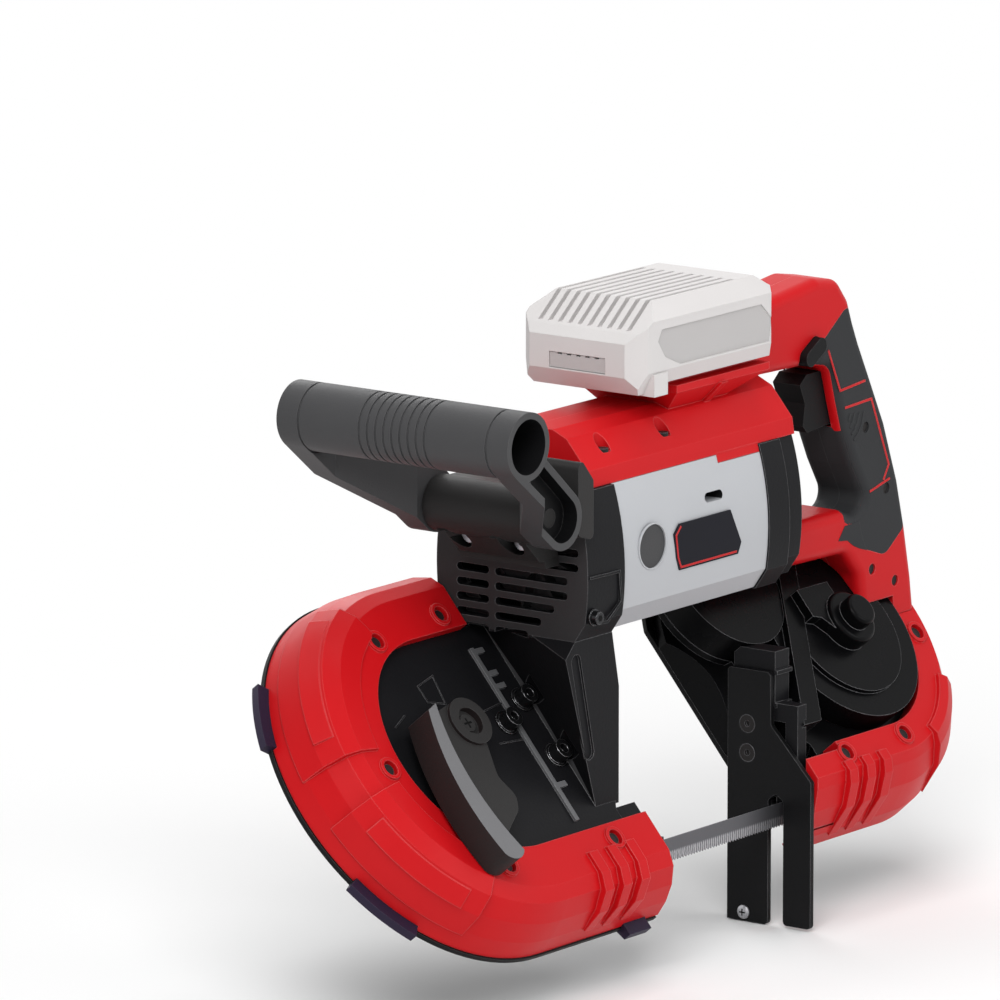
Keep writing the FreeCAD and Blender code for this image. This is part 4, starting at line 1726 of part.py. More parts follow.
CLAMSHELL = clamshell()
PARTS = {
    "front_housing": front_housing(),
    "rear_housing": rear_housing(),
    "gear_cover": gear_cover(),
    "frame_bridge": frame_bridge(),
    "front_wheel_cover": front_wheel_cover(),
    "rear_wheel_cover": rear_wheel_cover(),
    "cover_screws": cover_screws(),
    "front_bumper": front_bumper(),
    "rear_bumper": rear_bumper(),
    "bumper_pads": group([tilted(p) for p in pad_solids(0.0)]),
    "bumper_screws": bumper_screws(),
    "motor_housing": motor_housing(),
    "motor_stator": motor_stator(),
    "motor_bearings": motor_bearings(),
    "motor_rear_collar": motor_rear_collar(),
    "brush_caps": brush_caps(),
    "brush_holders": brush_holders(),
    "nameplate": nameplate(),
    "clamshell_near": shell_half(-1),
    "clamshell_far": shell_half(1),
    "clamshell_screws": clamshell_screws(),
    "grip_overmould": grip_overmould(),
    "switch_module": switch_module(),
    "battery_terminal_block": battery_terminal_block(),
    "handle_bracket": handle_bracket(),
    "bracket_bolts": bracket_bolts(),
    "shoe_plate": shoe_plate(),
    "shoe_screws": shoe_screws(),
    "front_guide_bracket": front_guide_bracket(),
    "rear_guide_bracket": rear_guide_bracket(),
    "slide_guide": slide_guide(),
    "slide_bolts": slide_bolts(),
    "tension_spring": tension_spring(),
    "gearbox_bearings": gearbox_bearings(),
    "saw_band": band(),
    "drive_wheel": wheel(DRIVE_X, SHAFT_RADIUS),
    "drive_tyre": tyre(DRIVE_X),
    "drive_shaft": drive_shaft(),
    "drive_gear": drive_gear(),
    "idler_gear": idler_gear(),
    "crown_gear": crown_gear(),
    "armature": armature(),
    "motor_fan": motor_fan(),
    "idler_carriage": idler_carriage(),
    "idler_wheel": wheel(IDLER_X, BEARING_RADIUS),
    "idler_tyre": tyre(IDLER_X),
    "idler_bearing": idler_bearing(),
    "tension_lever": tension_lever(),
    "trigger": trigger(),
    "lock_button": lock_button(),
    "front_handle": front_handle(),
    "battery_case": battery_shell(),
    "battery_latch": battery_latch(),
}
for end, x, ahead in (("front", FRONT_GUIDE_X, -1), ("rear", REAR_GUIDE_X, 1)):
    for which in roller_places(x, ahead):
        PARTS["%s_roller_%s" % (end, which)] = roller(x, ahead, which)

# The part's own zero: under the middle of the whole saw.
BOUNDS = group(list(PARTS.values())).optimalBoundingBox(False)
ORIGIN = Vector(BOUNDS.Center.x, BOUNDS.Center.y, BOUNDS.ZMin)

for name, shape in PARTS.items():
    placed = shape.translated(-ORIGIN)
    print("%-24s %d solids %9.0f mm3 valid %s" % (name, len(placed.Solids), placed.Volume, placed.isValid()))
    placed.exportStep("parts/%s.step" % name)
print("band length %.1f mm" % BAND_LENGTH)
print("overall %.1f x %.1f x %.1f mm" % (BOUNDS.XLength, BOUNDS.YLength, BOUNDS.ZLength))
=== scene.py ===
import math

import bmesh
import bpy
from mathutils import Matrix, Vector


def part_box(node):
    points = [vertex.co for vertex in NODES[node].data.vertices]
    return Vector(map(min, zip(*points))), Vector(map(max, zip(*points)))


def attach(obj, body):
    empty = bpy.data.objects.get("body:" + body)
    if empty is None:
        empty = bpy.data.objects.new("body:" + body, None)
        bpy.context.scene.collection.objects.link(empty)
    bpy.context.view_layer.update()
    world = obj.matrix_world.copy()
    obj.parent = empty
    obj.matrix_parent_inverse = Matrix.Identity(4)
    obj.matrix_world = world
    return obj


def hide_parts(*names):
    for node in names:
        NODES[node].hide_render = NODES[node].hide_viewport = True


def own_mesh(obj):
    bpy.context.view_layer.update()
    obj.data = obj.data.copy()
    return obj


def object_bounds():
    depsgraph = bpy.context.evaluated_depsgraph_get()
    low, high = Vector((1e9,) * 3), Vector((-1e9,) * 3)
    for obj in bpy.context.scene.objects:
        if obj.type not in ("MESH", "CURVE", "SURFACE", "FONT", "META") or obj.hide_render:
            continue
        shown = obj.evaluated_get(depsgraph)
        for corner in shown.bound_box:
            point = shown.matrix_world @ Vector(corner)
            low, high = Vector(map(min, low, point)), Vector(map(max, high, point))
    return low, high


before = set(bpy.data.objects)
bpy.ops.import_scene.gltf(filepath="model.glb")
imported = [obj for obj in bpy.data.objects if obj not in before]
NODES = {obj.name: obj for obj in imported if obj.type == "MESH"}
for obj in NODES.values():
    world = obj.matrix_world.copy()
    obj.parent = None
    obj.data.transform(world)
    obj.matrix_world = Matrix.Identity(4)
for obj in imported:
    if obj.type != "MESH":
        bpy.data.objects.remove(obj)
START_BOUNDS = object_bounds()

# The saw's own zero: shoe's front face, blade's plane, blade's middle line.
# Places below are millimetres from it: x to the rear, y to the far side, z up.
MM = 0.001
SHOE_LOW, SHOE_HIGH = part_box("shoe_plate")
SHOE_FAR_EDGE, SHOE_DROP = 34.8, 62.0
ZERO = Vector((SHOE_LOW.x, SHOE_HIGH.y - SHOE_FAR_EDGE * MM, SHOE_LOW.z + SHOE_DROP * MM))

TILT = math.radians(40.0)
RUN = 80.0
IDLER_X = -230.17
MOTOR_Z = 168.03
CENTRE_Y = 44.0
TUBE_X, TUBE_Z = -274.0, 249.0
TUBE_INSIDE = 17.0
PANEL_FACE = 20.0
PANEL_NORMAL = Vector((0.0, -math.cos(TILT), math.sin(TILT)))


def at(x, y, z):
    """Point of the saw frame, given in millimetres."""
    return ZERO + Vector((x, y, z)) * MM


def on_wheel_plane(u, v, n):
    """Point of the tilted wheel plane: along the saw, up the plane, out of it."""
    up = RUN + v
    return at(u, up * math.sin(TILT) - n * math.cos(TILT), up * math.cos(TILT) + n * math.sin(TILT))


# Materials

BROAD_SCALE, BROAD_DETAIL = 22.0, 5.0
GRAIN_DETAIL = 3.0
GRAIN_DEPTH = 0.4 * MM
LEAST_ROUGHNESS, ROUGH_SPREAD = 0.05, 0.12
STREAK_SCALE, STREAK_BEND, STREAK_DETAIL = 170.0, 3.0, 2.0
STEP_HALF = 0.6
EDGE_STARTS, EDGE_FULL = 0.97, 0.80


def node(tree, kind, **values):
    made = tree.nodes.new(kind)
    for key, value in values.items():
        setattr(made, key, value)
    return made


def noise(tree, place, scale, detail):
    """Noise fixed to the object, as a value from 0 to 1."""
    made = node(tree, "ShaderNodeTexNoise")
    made.inputs["Scale"].default_value = scale
    made.inputs["Detail"].default_value = detail
    tree.links.new(place.outputs["Object"], made.inputs["Vector"])
    return made.outputs["Fac"]


def mapped(tree, value, ends, inputs=("To Min", "To Max")):
    """A value put through a range whose two named ends are given."""
    made = node(tree, "ShaderNodeMapRange")
    for key, end in zip(inputs, ends):
        made.inputs[key].default_value = end
    tree.links.new(value, made.inputs["Value"])
    return made.outputs["Result"]


def streaked(tree, place, colour, line, ground_colour):
    """The colour above a height of the saw, and below it the ground colour in uneven streaks."""
    height = node(tree, "ShaderNodeSeparateXYZ")
    tree.links.new(place.outputs["Object"], height.inputs["Vector"])
    step_ends = (at(0.0, 0.0, line + STEP_HALF).z, at(0.0, 0.0, line - STEP_HALF).z)
    below = mapped(tree, height.outputs["Z"], step_ends, ("From Min", "From Max"))
    streaks = node(tree, "ShaderNodeTexWave", bands_direction="X")
    streaks.inputs["Scale"].default_value = STREAK_SCALE
    streaks.inputs["Distortion"].default_value = STREAK_BEND
    streaks.inputs["Detail Scale"].default_value = STREAK_DETAIL
    tree.links.new(place.outputs["Object"], streaks.inputs["Vector"])
    ground = node(tree, "ShaderNodeMix", data_type="RGBA")
    ground.inputs["A"].default_value = (*ground_colour, 1.0)
    ground.inputs["B"].default_value = (*colour, 1.0)
    tree.links.new(streaks.outputs["Fac"], ground.inputs["Factor"])
    both = node(tree, "ShaderNodeMix", data_type="RGBA")
    both.inputs["A"].default_value = (*colour, 1.0)
    tree.links.new(below, both.inputs["Factor"])
    tree.links.new(ground.outputs["Result"], both.inputs["B"])
    return both.outputs["Result"]


def edge_wear_and_highlight(tree, colour, bevel, broad, edge):
    """Lighter, broken line on the edges, found where the bevel turns the surface: partly wear, partly painted
    highlight.
    """
    flat = node(tree, "ShaderNodeNewGeometry")
    turn = node(tree, "ShaderNodeVectorMath", operation="DOT_PRODUCT")
    tree.links.new(flat.outputs["Normal"], turn.inputs[0])
    tree.links.new(bevel.outputs["Normal"], turn.inputs[1])
    mask = mapped(tree, turn.outputs["Value"], (EDGE_STARTS, EDGE_FULL), ("From Min", "From Max"))
    broken = node(tree, "ShaderNodeMath", operation="MULTIPLY")
    tree.links.new(mask, broken.inputs[0])
    tree.links.new(broad, broken.inputs[1])
    made = node(tree, "ShaderNodeMix", data_type="RGBA")
    made.inputs["B"].default_value = (*edge, 1.0)
    tree.links.new(broken.outputs["Value"], made.inputs["Factor"])
    tree.links.new(colour, made.inputs["A"])
    return made.outputs["Result"]


def finish(name, colour, rough, edge, metallic=0.0, grain=900.0, bump=0.15, edge_mm=0.5, mottle=0.10,
           specular=0.5, low=None):
    """Procedural surface: fine grain, uneven roughness, rounded looking edges and on them a lighter line,
    partly wear and partly painted highlight.
    low gives a height of the saw in millimetres and the ground colour below it."""
    made = bpy.data.materials.new(name)
    made.use_nodes = True
    tree = made.node_tree
    tree.nodes.clear()
    out = node(tree, "ShaderNodeOutputMaterial")
    shader = node(tree, "ShaderNodeBsdfPrincipled")
    shader.inputs["Metallic"].default_value = metallic
    shader.inputs["Specular IOR Level"].default_value = specular
    tree.links.new(shader.outputs["BSDF"], out.inputs["Surface"])
    place = node(tree, "ShaderNodeTexCoord")
    fine = noise(tree, place, grain, GRAIN_DETAIL)
    broad = noise(tree, place, BROAD_SCALE, BROAD_DETAIL)
    rough_ends = (max(LEAST_ROUGHNESS, rough - ROUGH_SPREAD), min(1.0, rough + ROUGH_SPREAD))
    uneven = mapped(tree, broad, rough_ends)
    tree.links.new(uneven, shader.inputs["Roughness"])

    bevel = node(tree, "ShaderNodeBevel", samples=4)
    bevel.inputs["Radius"].default_value = edge_mm * MM
    lumps = node(tree, "ShaderNodeBump")
    lumps.inputs["Strength"].default_value = bump
    lumps.inputs["Distance"].default_value = GRAIN_DEPTH
    tree.links.new(fine, lumps.inputs["Height"])
    tree.links.new(bevel.outputs["Normal"], lumps.inputs["Normal"])
    tree.links.new(lumps.outputs["Normal"], shader.inputs["Normal"])

    shade = node(tree, "ShaderNodeMix", data_type="RGBA", blend_type="MULTIPLY")
    shade.inputs["Factor"].default_value = 1.0
    shade.inputs["A"].default_value = (*colour, 1.0)
    if low:
        tree.links.new(streaked(tree, place, colour, *low), shade.inputs["A"])
    tree.links.new(mapped(tree, broad, (1.0 - mottle, 1.0 + mottle)), shade.inputs["B"])
    tree.links.new(edge_wear_and_highlight(tree, shade.outputs["Result"], bevel, broad, edge), shader.inputs["Base Color"])
    return made


# The fourth value of each finish is the colour of the line on its edges, partly wear and partly a painted
# highlight; on the black bolts it is near white, a painted glint.
RED = finish("red_plastic", (0.52, 0.0050, 0.0080), 0.42, (0.85, 0.20, 0.20),
             bump=0.10, edge_mm=0.9, mottle=0.05, specular=0.15)
CASTING = finish("black_casting", (0.0090, 0.0090, 0.0102), 0.38, (0.36, 0.36, 0.37),
                 bump=0.22, grain=600.0, edge_mm=0.7, specular=0.07)
SILVER = finish("silver_casting", (0.44, 0.45, 0.47), 0.45, (0.62, 0.63, 0.65),
                metallic=0.20, bump=0.08, mottle=0.04, specular=0.25)
GRIP = finish("grip_rubber", (0.030, 0.031, 0.033), 0.62, (0.10, 0.10, 0.105),
              bump=0.30, grain=1500.0, specular=0.12)
PAD = finish("pad_rubber", (0.020, 0.014, 0.034), 0.48, (0.11, 0.10, 0.14), bump=0.20, specular=0.14)
PLASTIC = finish("black_plastic", (0.052, 0.052, 0.054), 0.52, (0.16, 0.16, 0.165),
                 bump=0.25, grain=1100.0, specular=0.18)
BRACKET = finish("bracket_plastic", (0.026, 0.025, 0.025), 0.50, (0.10, 0.10, 0.10),
                 bump=0.22, grain=1100.0, specular=0.12)
# Lighter copy of the black casting, put on the front-facing vent wall as painted light.
CASTING_PAINTED_LIGHT = finish("casting_painted_light", (0.036, 0.0355, 0.037), 0.40, (0.36, 0.36, 0.37),
               bump=0.22, grain=600.0, edge_mm=0.7, specular=0.10)
GLOSS = finish("gloss_casting", (0.0026, 0.0026, 0.0030), 0.27, (0.50, 0.50, 0.52),
               bump=0.12, grain=600.0, edge_mm=0.6, specular=0.06)
# Near-black plastic of the covers, trigger and lock button; also painted shade inside the front handle and on
# the motor's front faces.
COVER_AND_SHADE = finish("cover_plastic_and_painted_shade", (0.0060, 0.0060, 0.0066), 0.50, (0.14, 0.14, 0.14),
               bump=0.20, specular=0.10)
# Light grey for the guide ridge on the black front housing: a painted highlight.
RIDGE_HIGHLIGHT = finish("ridge_painted_highlight", (0.120, 0.121, 0.126), 0.36, (0.48, 0.48, 0.50),
               bump=0.20, grain=600.0, specular=0.20)
STEEL = finish("bright_steel", (0.42, 0.42, 0.44), 0.32, (0.60, 0.60, 0.62), metallic=1.0, bump=0.05)
INNER = finish("oiled_steel", (0.10, 0.10, 0.105), 0.42, (0.20, 0.20, 0.21), metallic=1.0, bump=0.05)
ZINC = finish("zinc_bolt", (0.42, 0.42, 0.45), 0.40, (0.70, 0.70, 0.72), metallic=1.0, bump=0.06)
BOLT = finish("black_bolt", (0.028, 0.028, 0.030), 0.30, (0.85, 0.85, 0.88),
              metallic=0.8, bump=0.06, edge_mm=0.4)
SCREW = finish("dark_screw", (0.020, 0.018, 0.018), 0.45, (0.40, 0.40, 0.42),
               metallic=0.3, bump=0.06, specular=0.15)
BLADE = finish("blade_steel", (0.12, 0.12, 0.13), 0.40, (0.50, 0.50, 0.52),
               metallic=0.9, bump=0.10, low=(-1.0, (0.46, 0.46, 0.48)))
SHOE = finish("shoe_coat", (0.0064, 0.0064, 0.0070), 0.44, (0.26, 0.26, 0.27),
              bump=0.18, edge_mm=0.6, specular=0.10)
ALLOY = finish("wheel_alloy", (0.42, 0.42, 0.44), 0.35, (0.55, 0.55, 0.57), metallic=1.0, bump=0.06)
TYRE = finish("tyre_rubber", (0.015, 0.015, 0.016), 0.70, (0.04, 0.04, 0.042), bump=0.30)
BATTERY = finish("battery_grey", (0.62, 0.60, 0.595), 0.55, (0.76, 0.75, 0.745),
                 bump=0.12, mottle=0.03, specular=0.15)
INSERT = finish("battery_insert", (0.47, 0.455, 0.452), 0.55, (0.62, 0.61, 0.605),
                bump=0.15, mottle=0.03, specular=0.15)
LABEL = finish("bare_plate", (0.0040, 0.0040, 0.0085), 0.36, (0.06, 0.06, 0.08), bump=0.03, specular=0.10)
LEVER = finish("lever_plastic", (0.017, 0.013, 0.013), 0.46, (0.18, 0.18, 0.185), bump=0.16, specular=0.14)
LEVER_TOP = finish("lever_top", (0.150, 0.150, 0.156), 0.40, (0.24, 0.24, 0.25), bump=0.16, specular=0.20)
# Near-black for painted shade in screw crosses and the bolt socket.
RECESS_SHADE = finish("painted_recess_shade", (0.004, 0.004, 0.004), 0.70, (0.01, 0.01, 0.01), bump=0.05, specular=0.08)

# Nodes that aren't named here are bright steel.
SURFACE = {
    "front_bumper": RED, "rear_bumper": RED, "clamshell_near": RED, "clamshell_far": RED,
    "front_housing": CASTING, "rear_housing": GLOSS, "gear_cover": GLOSS, "frame_bridge": CASTING,
    "motor_rear_collar": CASTING, "handle_bracket": BRACKET, "front_guide_bracket": CASTING,
    "rear_guide_bracket": CASTING, "front_wheel_cover": COVER_AND_SHADE, "rear_wheel_cover": COVER_AND_SHADE,
    "motor_housing": SILVER, "grip_overmould": GRIP, "bumper_pads": PAD, "front_handle": PLASTIC,
    "trigger": COVER_AND_SHADE, "lock_button": COVER_AND_SHADE, "switch_module": PLASTIC, "battery_terminal_block": PLASTIC,
    "brush_caps": PLASTIC, "motor_fan": PLASTIC, "tension_lever": LEVER, "nameplate": LABEL,
    "saw_band": BLADE, "shoe_plate": SHOE, "drive_wheel": ALLOY, "idler_wheel": ALLOY,
    "drive_tyre": TYRE, "idler_tyre": TYRE, "battery_case": BATTERY, "battery_latch": INSERT,
    "motor_stator": INNER, "motor_bearings": INNER, "armature": INNER, "brush_holders": INNER,
    "bracket_bolts": ZINC, "slide_bolts": BOLT, "shoe_screws": SCREW, "bumper_screws": SCREW,
    "cover_screws": SCREW, "clamshell_screws": SCREW,
}
for name, obj in NODES.items():
    obj.data.materials.clear()
    obj.data.materials.append(SURFACE.get(name, STEEL))

# Second surfaces on parts of a node, chosen by where a face lies and how it points

SQUARE, MOSTLY, PARTLY = 0.9, 0.5, 0.3
LEVER_FLAT, LEVER_STEP = 0.95, 45.0
# Areas of the side view: a span along the saw and a span up it.
GRIP_FRONT = ((80.0, 125.0), (138.0, 195.0))
GRIP_BACK = ((100.0, 160.0), (131.0, 262.0))
GRIP_CORNER = ((97.0, 122.0), (138.5, 152.0))
ARM_POCKET = ((-232.0, -200.0), (185.0, 232.0))
ARM_RIM, ARM_FLOOR = -12.3, -3.3
CASE_TOP = (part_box("battery_case")[1].z - ZERO.z) / MM
INSET_OUT = (38.7, 39.5)
SLAT_DEPTH = (0.5, 4.0)
VENT_WALL_FOOT = 126.0
GUIDE_LINE_OUT = (20.3, 23.0)
GUIDE_LINE_ALONG = (-190.0, -158.0)


def paint(name, material, test):
    """Second surface on a node's faces that pass the test, given their middle and normal in the saw frame."""
    mesh = NODES[name].data
    mesh.materials.append(material)
    last = len(mesh.materials) - 1
    for face in mesh.polygons:
        if test((face.center - ZERO) / MM, face.normal):
            face.material_index = last


def within(value, span):
    return span[0] < value < span[1]


def in_area(point, area):
    return within(point.x, area[0]) and within(point.z, area[1])


def out_of_plane(point):
    """Distance of a point of the saw frame from the wheels' middle plane."""
    return -point.y * math.cos(TILT) + point.z * math.sin(TILT)


def lever_top(point, normal):
    return normal.dot(PANEL_NORMAL) > LEVER_FLAT and out_of_plane(point) > LEVER_STEP


def lever_web(point, normal):
    return normal.dot(PANEL_NORMAL) > LEVER_FLAT and out_of_plane(point) < LEVER_STEP


def on_grip(point, normal):
    """On the rubber front and back of the rear grip, and in the corner at its foot."""
    front = normal.x < -PARTLY and in_area(point, GRIP_FRONT)
    back = normal.x > PARTLY and in_area(point, GRIP_BACK)
    return front or back or in_area(point, GRIP_CORNER)


def case_inset(point, normal):
    """On the battery's side insets or on the floor between its slats."""
    side = abs(normal.y) > SQUARE and within(abs(point.y - CENTRE_Y), INSET_OUT)
    return side or normal.z > SQUARE and within(CASE_TOP - point.z, SLAT_DEPTH)


def in_bore(point, normal):
    """On the inside of the front handle's tube."""
    x, z = point.x - TUBE_X, point.z - TUBE_Z
    return math.hypot(x, z) < TUBE_INSIDE and x * normal.x + z * normal.z < -1.0


def in_pocket(point, normal):
    """On the floor or the walls of the pocket in the near arm of the front handle.
    A wall's triangles have their middles at one and two thirds of its depth."""
    floor_face = normal.y < -SQUARE and abs(point.y - ARM_FLOOR) < 0.7
    thirds = ((2.0 * ARM_RIM + ARM_FLOOR) / 3.0, (ARM_RIM + 2.0 * ARM_FLOOR) / 3.0)
    wall_face = abs(normal.y) < PARTLY and min(abs(point.y - third) for third in thirds) < 0.3
    return in_area(point, ARM_POCKET) and (floor_face or wall_face)


# Front-facing faces; on the motor parts behind the vents they get painted shade.
def faces_front(point, normal):
    return normal.x < -MOSTLY


def vent_wall(point, normal):
    return normal.x < -SQUARE and point.z > VENT_WALL_FOOT


def guide_line(point, normal):
    return within(out_of_plane(point), GUIDE_LINE_OUT) and within(point.x, GUIDE_LINE_ALONG)


paint("tension_lever", LEVER_TOP, lever_top)
paint("tension_lever", BRACKET, lever_web)
paint("clamshell_near", GRIP, on_grip)
paint("clamshell_far", GRIP, on_grip)
paint("battery_case", INSERT, case_inset)
# Painted shade inside the front handle's tube and in the pocket of its near arm.
paint("front_handle", COVER_AND_SHADE, in_bore)
paint("front_handle", COVER_AND_SHADE, in_pocket)
# Painted shade on the front faces of the motor's bearings and housing, seen through the vents.
paint("motor_bearings", COVER_AND_SHADE, faces_front)
# Painted light on the vent wall's front-facing faces.
paint("front_housing", CASTING_PAINTED_LIGHT, vent_wall)
paint("motor_housing", COVER_AND_SHADE, faces_front)
# Painted highlight along the guide ridge of the front housing.
paint("front_housing", RIDGE_HIGHLIGHT, guide_line)

# Ways to make small pieces

CHAMFER = 0.75
SHARPEST_MITRE = 0.35


def piece(name, points, faces, material, body="frame"):
    """A small solid that rides on a body."""
    mesh = bpy.data.meshes.new(name)
    mesh.from_pydata([tuple(p) for p in points], [], faces)
    work = bmesh.new()
    work.from_mesh(mesh)
    bmesh.ops.recalc_face_normals(work, faces=work.faces)
    work.to_mesh(mesh)
    work.free()
    mesh.materials.append(material)
    made = bpy.data.objects.new(name, mesh)
    bpy.context.scene.collection.objects.link(made)
    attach(made, body)


def ribbon(name, plane, corners, width, rise, material, body="frame", closed=False):
    """Raised strip of one width along the corners of a line drawn on a plane, mitred at each of them."""
    line = [Vector(c) for c in corners]
    count = len(line)
    points = []
    for i, here in enumerate(line):
        ways = []
        if closed or i > 0:
            ways.append((here - line[i - 1]).normalized())
        if closed or i < count - 1:
            ways.append((line[(i + 1) % count] - here).normalized())
        across = Vector((0.0, 0.0))
        for way in ways:
            across += Vector((-way.y, way.x))
        across.normalize()
        across *= 0.5 * width / max(SHARPEST_MITRE, across.dot(Vector((-ways[0].y, ways[0].x))))
        for side, h in ((1.0, 0.0), (CHAMFER, rise), (-CHAMFER, rise), (-1.0, 0.0)):
            spot = here + across * side
            points.append(plane(spot.x, spot.y, h))
    faces = []
    for i in range(count if closed else count - 1):
        a, b = 4 * i, 4 * ((i + 1) % count)
        faces += [(a + k, a + (k + 1) % 4, b + (k + 1) % 4, b + k) for k in range(4)]
    if not closed:
        faces += [(0, 1, 2, 3), tuple(4 * (count - 1) + k for k in (3, 2, 1, 0))]
    piece(name, points, faces, material, body)


def turned(name, plane, centre, profile, material, sides=40):
    """Piece of revolution on a plane: rings of (radius, height) round a point, capped unless they close."""
    points, faces = [], []
    for radius, h in profile:
        for k in range(sides):
            angle = 2.0 * math.pi * k / sides
            u, v = radius * math.cos(angle), radius * math.sin(angle)
            points.append(plane(centre[0] + u, centre[1] + v, h))
    rings = len(profile)
    for i in range(rings - 1):
        for k in range(sides):
            j = (k + 1) % sides
            faces.append((i * sides + k, i * sides + j, (i + 1) * sides + j, (i + 1) * sides + k))
    if profile[0] != profile[-1]:
        faces += [tuple(range(sides)), tuple((rings - 1) * sides + k for k in range(sides))]
    piece(name, points, faces, material)


def slab(name, corners, near, far, material):
    """Upright plate with the given outline, from one distance across the saw to another."""
    count = len(corners)
    points = [at(x, y, z) for y in (near, far) for x, z in corners]
    faces = [tuple(range(count)), tuple(range(count, 2 * count))]
    faces += [(k, (k + 1) % count, count + (k + 1) % count, count + k) for k in range(count)]
    piece(name, points, faces, material)


def cross(name, plane, centre, reach, width, body="frame"):
    """Cross recess of a screw head, drawn as two bars of painted shade that lie just over each other."""
    u, v = centre
    ribbon(name + "_a", plane, ((u - reach, v), (u + reach, v)), width, 0.06, RECESS_SHADE, body)
    ribbon(name + "_b", plane, ((u, v - reach), (u, v + reach)), width, 0.07, RECESS_SHADE, body)


def side_plane(y):
    """Upright plane at the near side, its height towards the viewer."""
    return lambda u, v, h: at(u, y - h, v)


def far_plane(y):
    """Upright plane at the far side, its height away from the viewer."""
    return lambda u, v, h: at(u, y + h, v)


def end_plane(x):
    """Upright plane across the saw, its height towards the front."""
    return lambda u, v, h: at(x - h, u, v)


def panel_plane(n):
    """Plane parallel to the wheels, its height out of them."""
    return lambda u, v, h: on_wheel_plane(u, v, n + h)


# Nameplate's red line

NAMEPLATE_FACE = -3.6
STRIPE = ((-97.0, 6.5), (-101.2, 2.2), (-99.3, -10.0), (-96.8, -15.5), (-46.5, -15.5))
ribbon("nameplate_stripe", side_plane(NAMEPLATE_FACE), [(x, MOTOR_Z + up) for x, up in STRIPE],
       1.3, 0.25, RED)

# Rear grip: red lines, ribs and the rubber at its foot, on both sides

GRIP_LINES = (
    ((81.0, 238.0), (92.4, 214.0), (116.0, 216.0)),
    ((97.0, 203.8), (122.0, 205.0), (139.0, 166.0), (134.0, 158.0)),
    ((121.0, 153.6), (140.0, 158.0)),
)
GRIP_RIBS = (
    ((115.0, 199.0), (112.9, 191.7), (109.5, 187.5), (105.6, 184.6)),
    ((110.6, 199.1), (108.5, 193.5), (106.0, 190.0), (103.4, 188.0)),
    ((106.2, 199.4), (104.1, 195.0), (101.8, 192.0)),
    ((102.2, 199.6), (100.4, 196.2)),
)
GRIP_FOOT = ((111.0, 138.5), (97.5, 138.5), (91.5, 131.0), (100.0, 130.0), (106.0, 126.0), (112.0, 123.5),
             (118.5, 121.6), (114.0, 130.0))
GRIP_STRIP = 1.6
FOOT_PROUD, FOOT_THICK = 0.25, 1.0
GRIP_NEAR = 27.0
GRIP_FAR = 2.0 * CENTRE_Y - GRIP_NEAR
GRIP_SIDES = (
    ("near", side_plane(GRIP_NEAR), GRIP_NEAR - FOOT_PROUD),
    ("far", far_plane(GRIP_FAR), GRIP_FAR + FOOT_PROUD - FOOT_THICK),
)
for side, grip, foot_y in GRIP_SIDES:
    for number, corners in enumerate(GRIP_LINES):
        ribbon(f"grip_line_{side}_{number}", grip, corners, GRIP_STRIP, 0.30, RED)
    for number, corners in enumerate(GRIP_RIBS):
        ribbon(f"grip_rib_{side}_{number}", grip, corners, GRIP_STRIP, 0.45, GRIP)
    slab("grip_foot_" + side, GRIP_FOOT, foot_y, foot_y + FOOT_THICK, GRIP)

# Raised lines on the front panel, from the idler's axis: the corners, and whether they close

RAISED = (
    (((-10.0, 40.2), (5.4, 43.5), (2.4, 26.6), (-9.8, 30.1)), True),
    (((27.2, 16.8), (48.1, 18.8)), False),
    (((24.3, -2.9), (43.7, -4.3)), False),
    (((-44.5, 21.9), (-32.8, 26.7)), False),
)
for number, (corners, closed) in enumerate(RAISED):
    ribbon(f"panel_line_{number}", panel_plane(PANEL_FACE), [(IDLER_X + u, v) for u, v in corners],
           1.2, 0.45, CASTING, closed=closed)

# Bolt and fin on the neck's near face

NECK = side_plane(-4.8)
NECK_BOLT = (-176.6, 139.5)
NECK_FIN = ((-181.0, 161.0), (-155.0, 160.5), (-153.0, 144.0), (-165.5, 135.4), (-175.0, 136.0))
turned("cap_bolt_washer", NECK, NECK_BOLT, ((4.6, 0.0), (4.6, 0.9), (4.3, 1.1)), BOLT)
turned("cap_bolt_head", NECK, NECK_BOLT, ((3.6, 1.1), (3.6, 4.2), (3.2, 4.6)), BOLT)
# The socket's hole drawn as a dark disc of painted shade.
turned("cap_bolt_socket", NECK, NECK_BOLT, ((1.8, 4.6), (1.8, 4.66)), RECESS_SHADE, sides=6)
ribbon("neck_fin", NECK, NECK_FIN, 2.0, 1.4, CASTING)

# Screws of the shoe and of the lever

SHOE_SCREW = (23.6, -57.1)
SHOE_SCREW_HEAD = ((4.0, 0.0), (3.8, 0.9), (2.6, 1.6), (1.2, 1.8))
LEVER_SCREW = (IDLER_X - 5.0, 9.0)
LEVER_SCREW_FACE = 31.82
turned("shoe_front_screw", end_plane(0.0), SHOE_SCREW, SHOE_SCREW_HEAD, STEEL)
cross("shoe_front_screw_cross", end_plane(-SHOE_SCREW_HEAD[-1][1]), SHOE_SCREW, 1.9, 0.8)
cross("lever_screw_cross", panel_plane(LEVER_SCREW_FACE), LEVER_SCREW, 3.0, 1.2, "tension_lever")

# Pale ring round the near brush cap: a painted highlight on the cap's rim, drawn as a raised silver ring

BRUSH_CAP = (-122.0, MOTOR_Z)
RING_IN, RING_OUT, RING_RISE = 11.7, 12.5, 1.1
RING = ((RING_IN, 0.0), (RING_OUT, 0.0), (RING_OUT, RING_RISE), (RING_IN, RING_RISE), (RING_IN, 0.0))
turned("brush_cap_highlight_ring", side_plane(-2.6), BRUSH_CAP, RING, SILVER, sides=64)

# Rungs on the rear guide

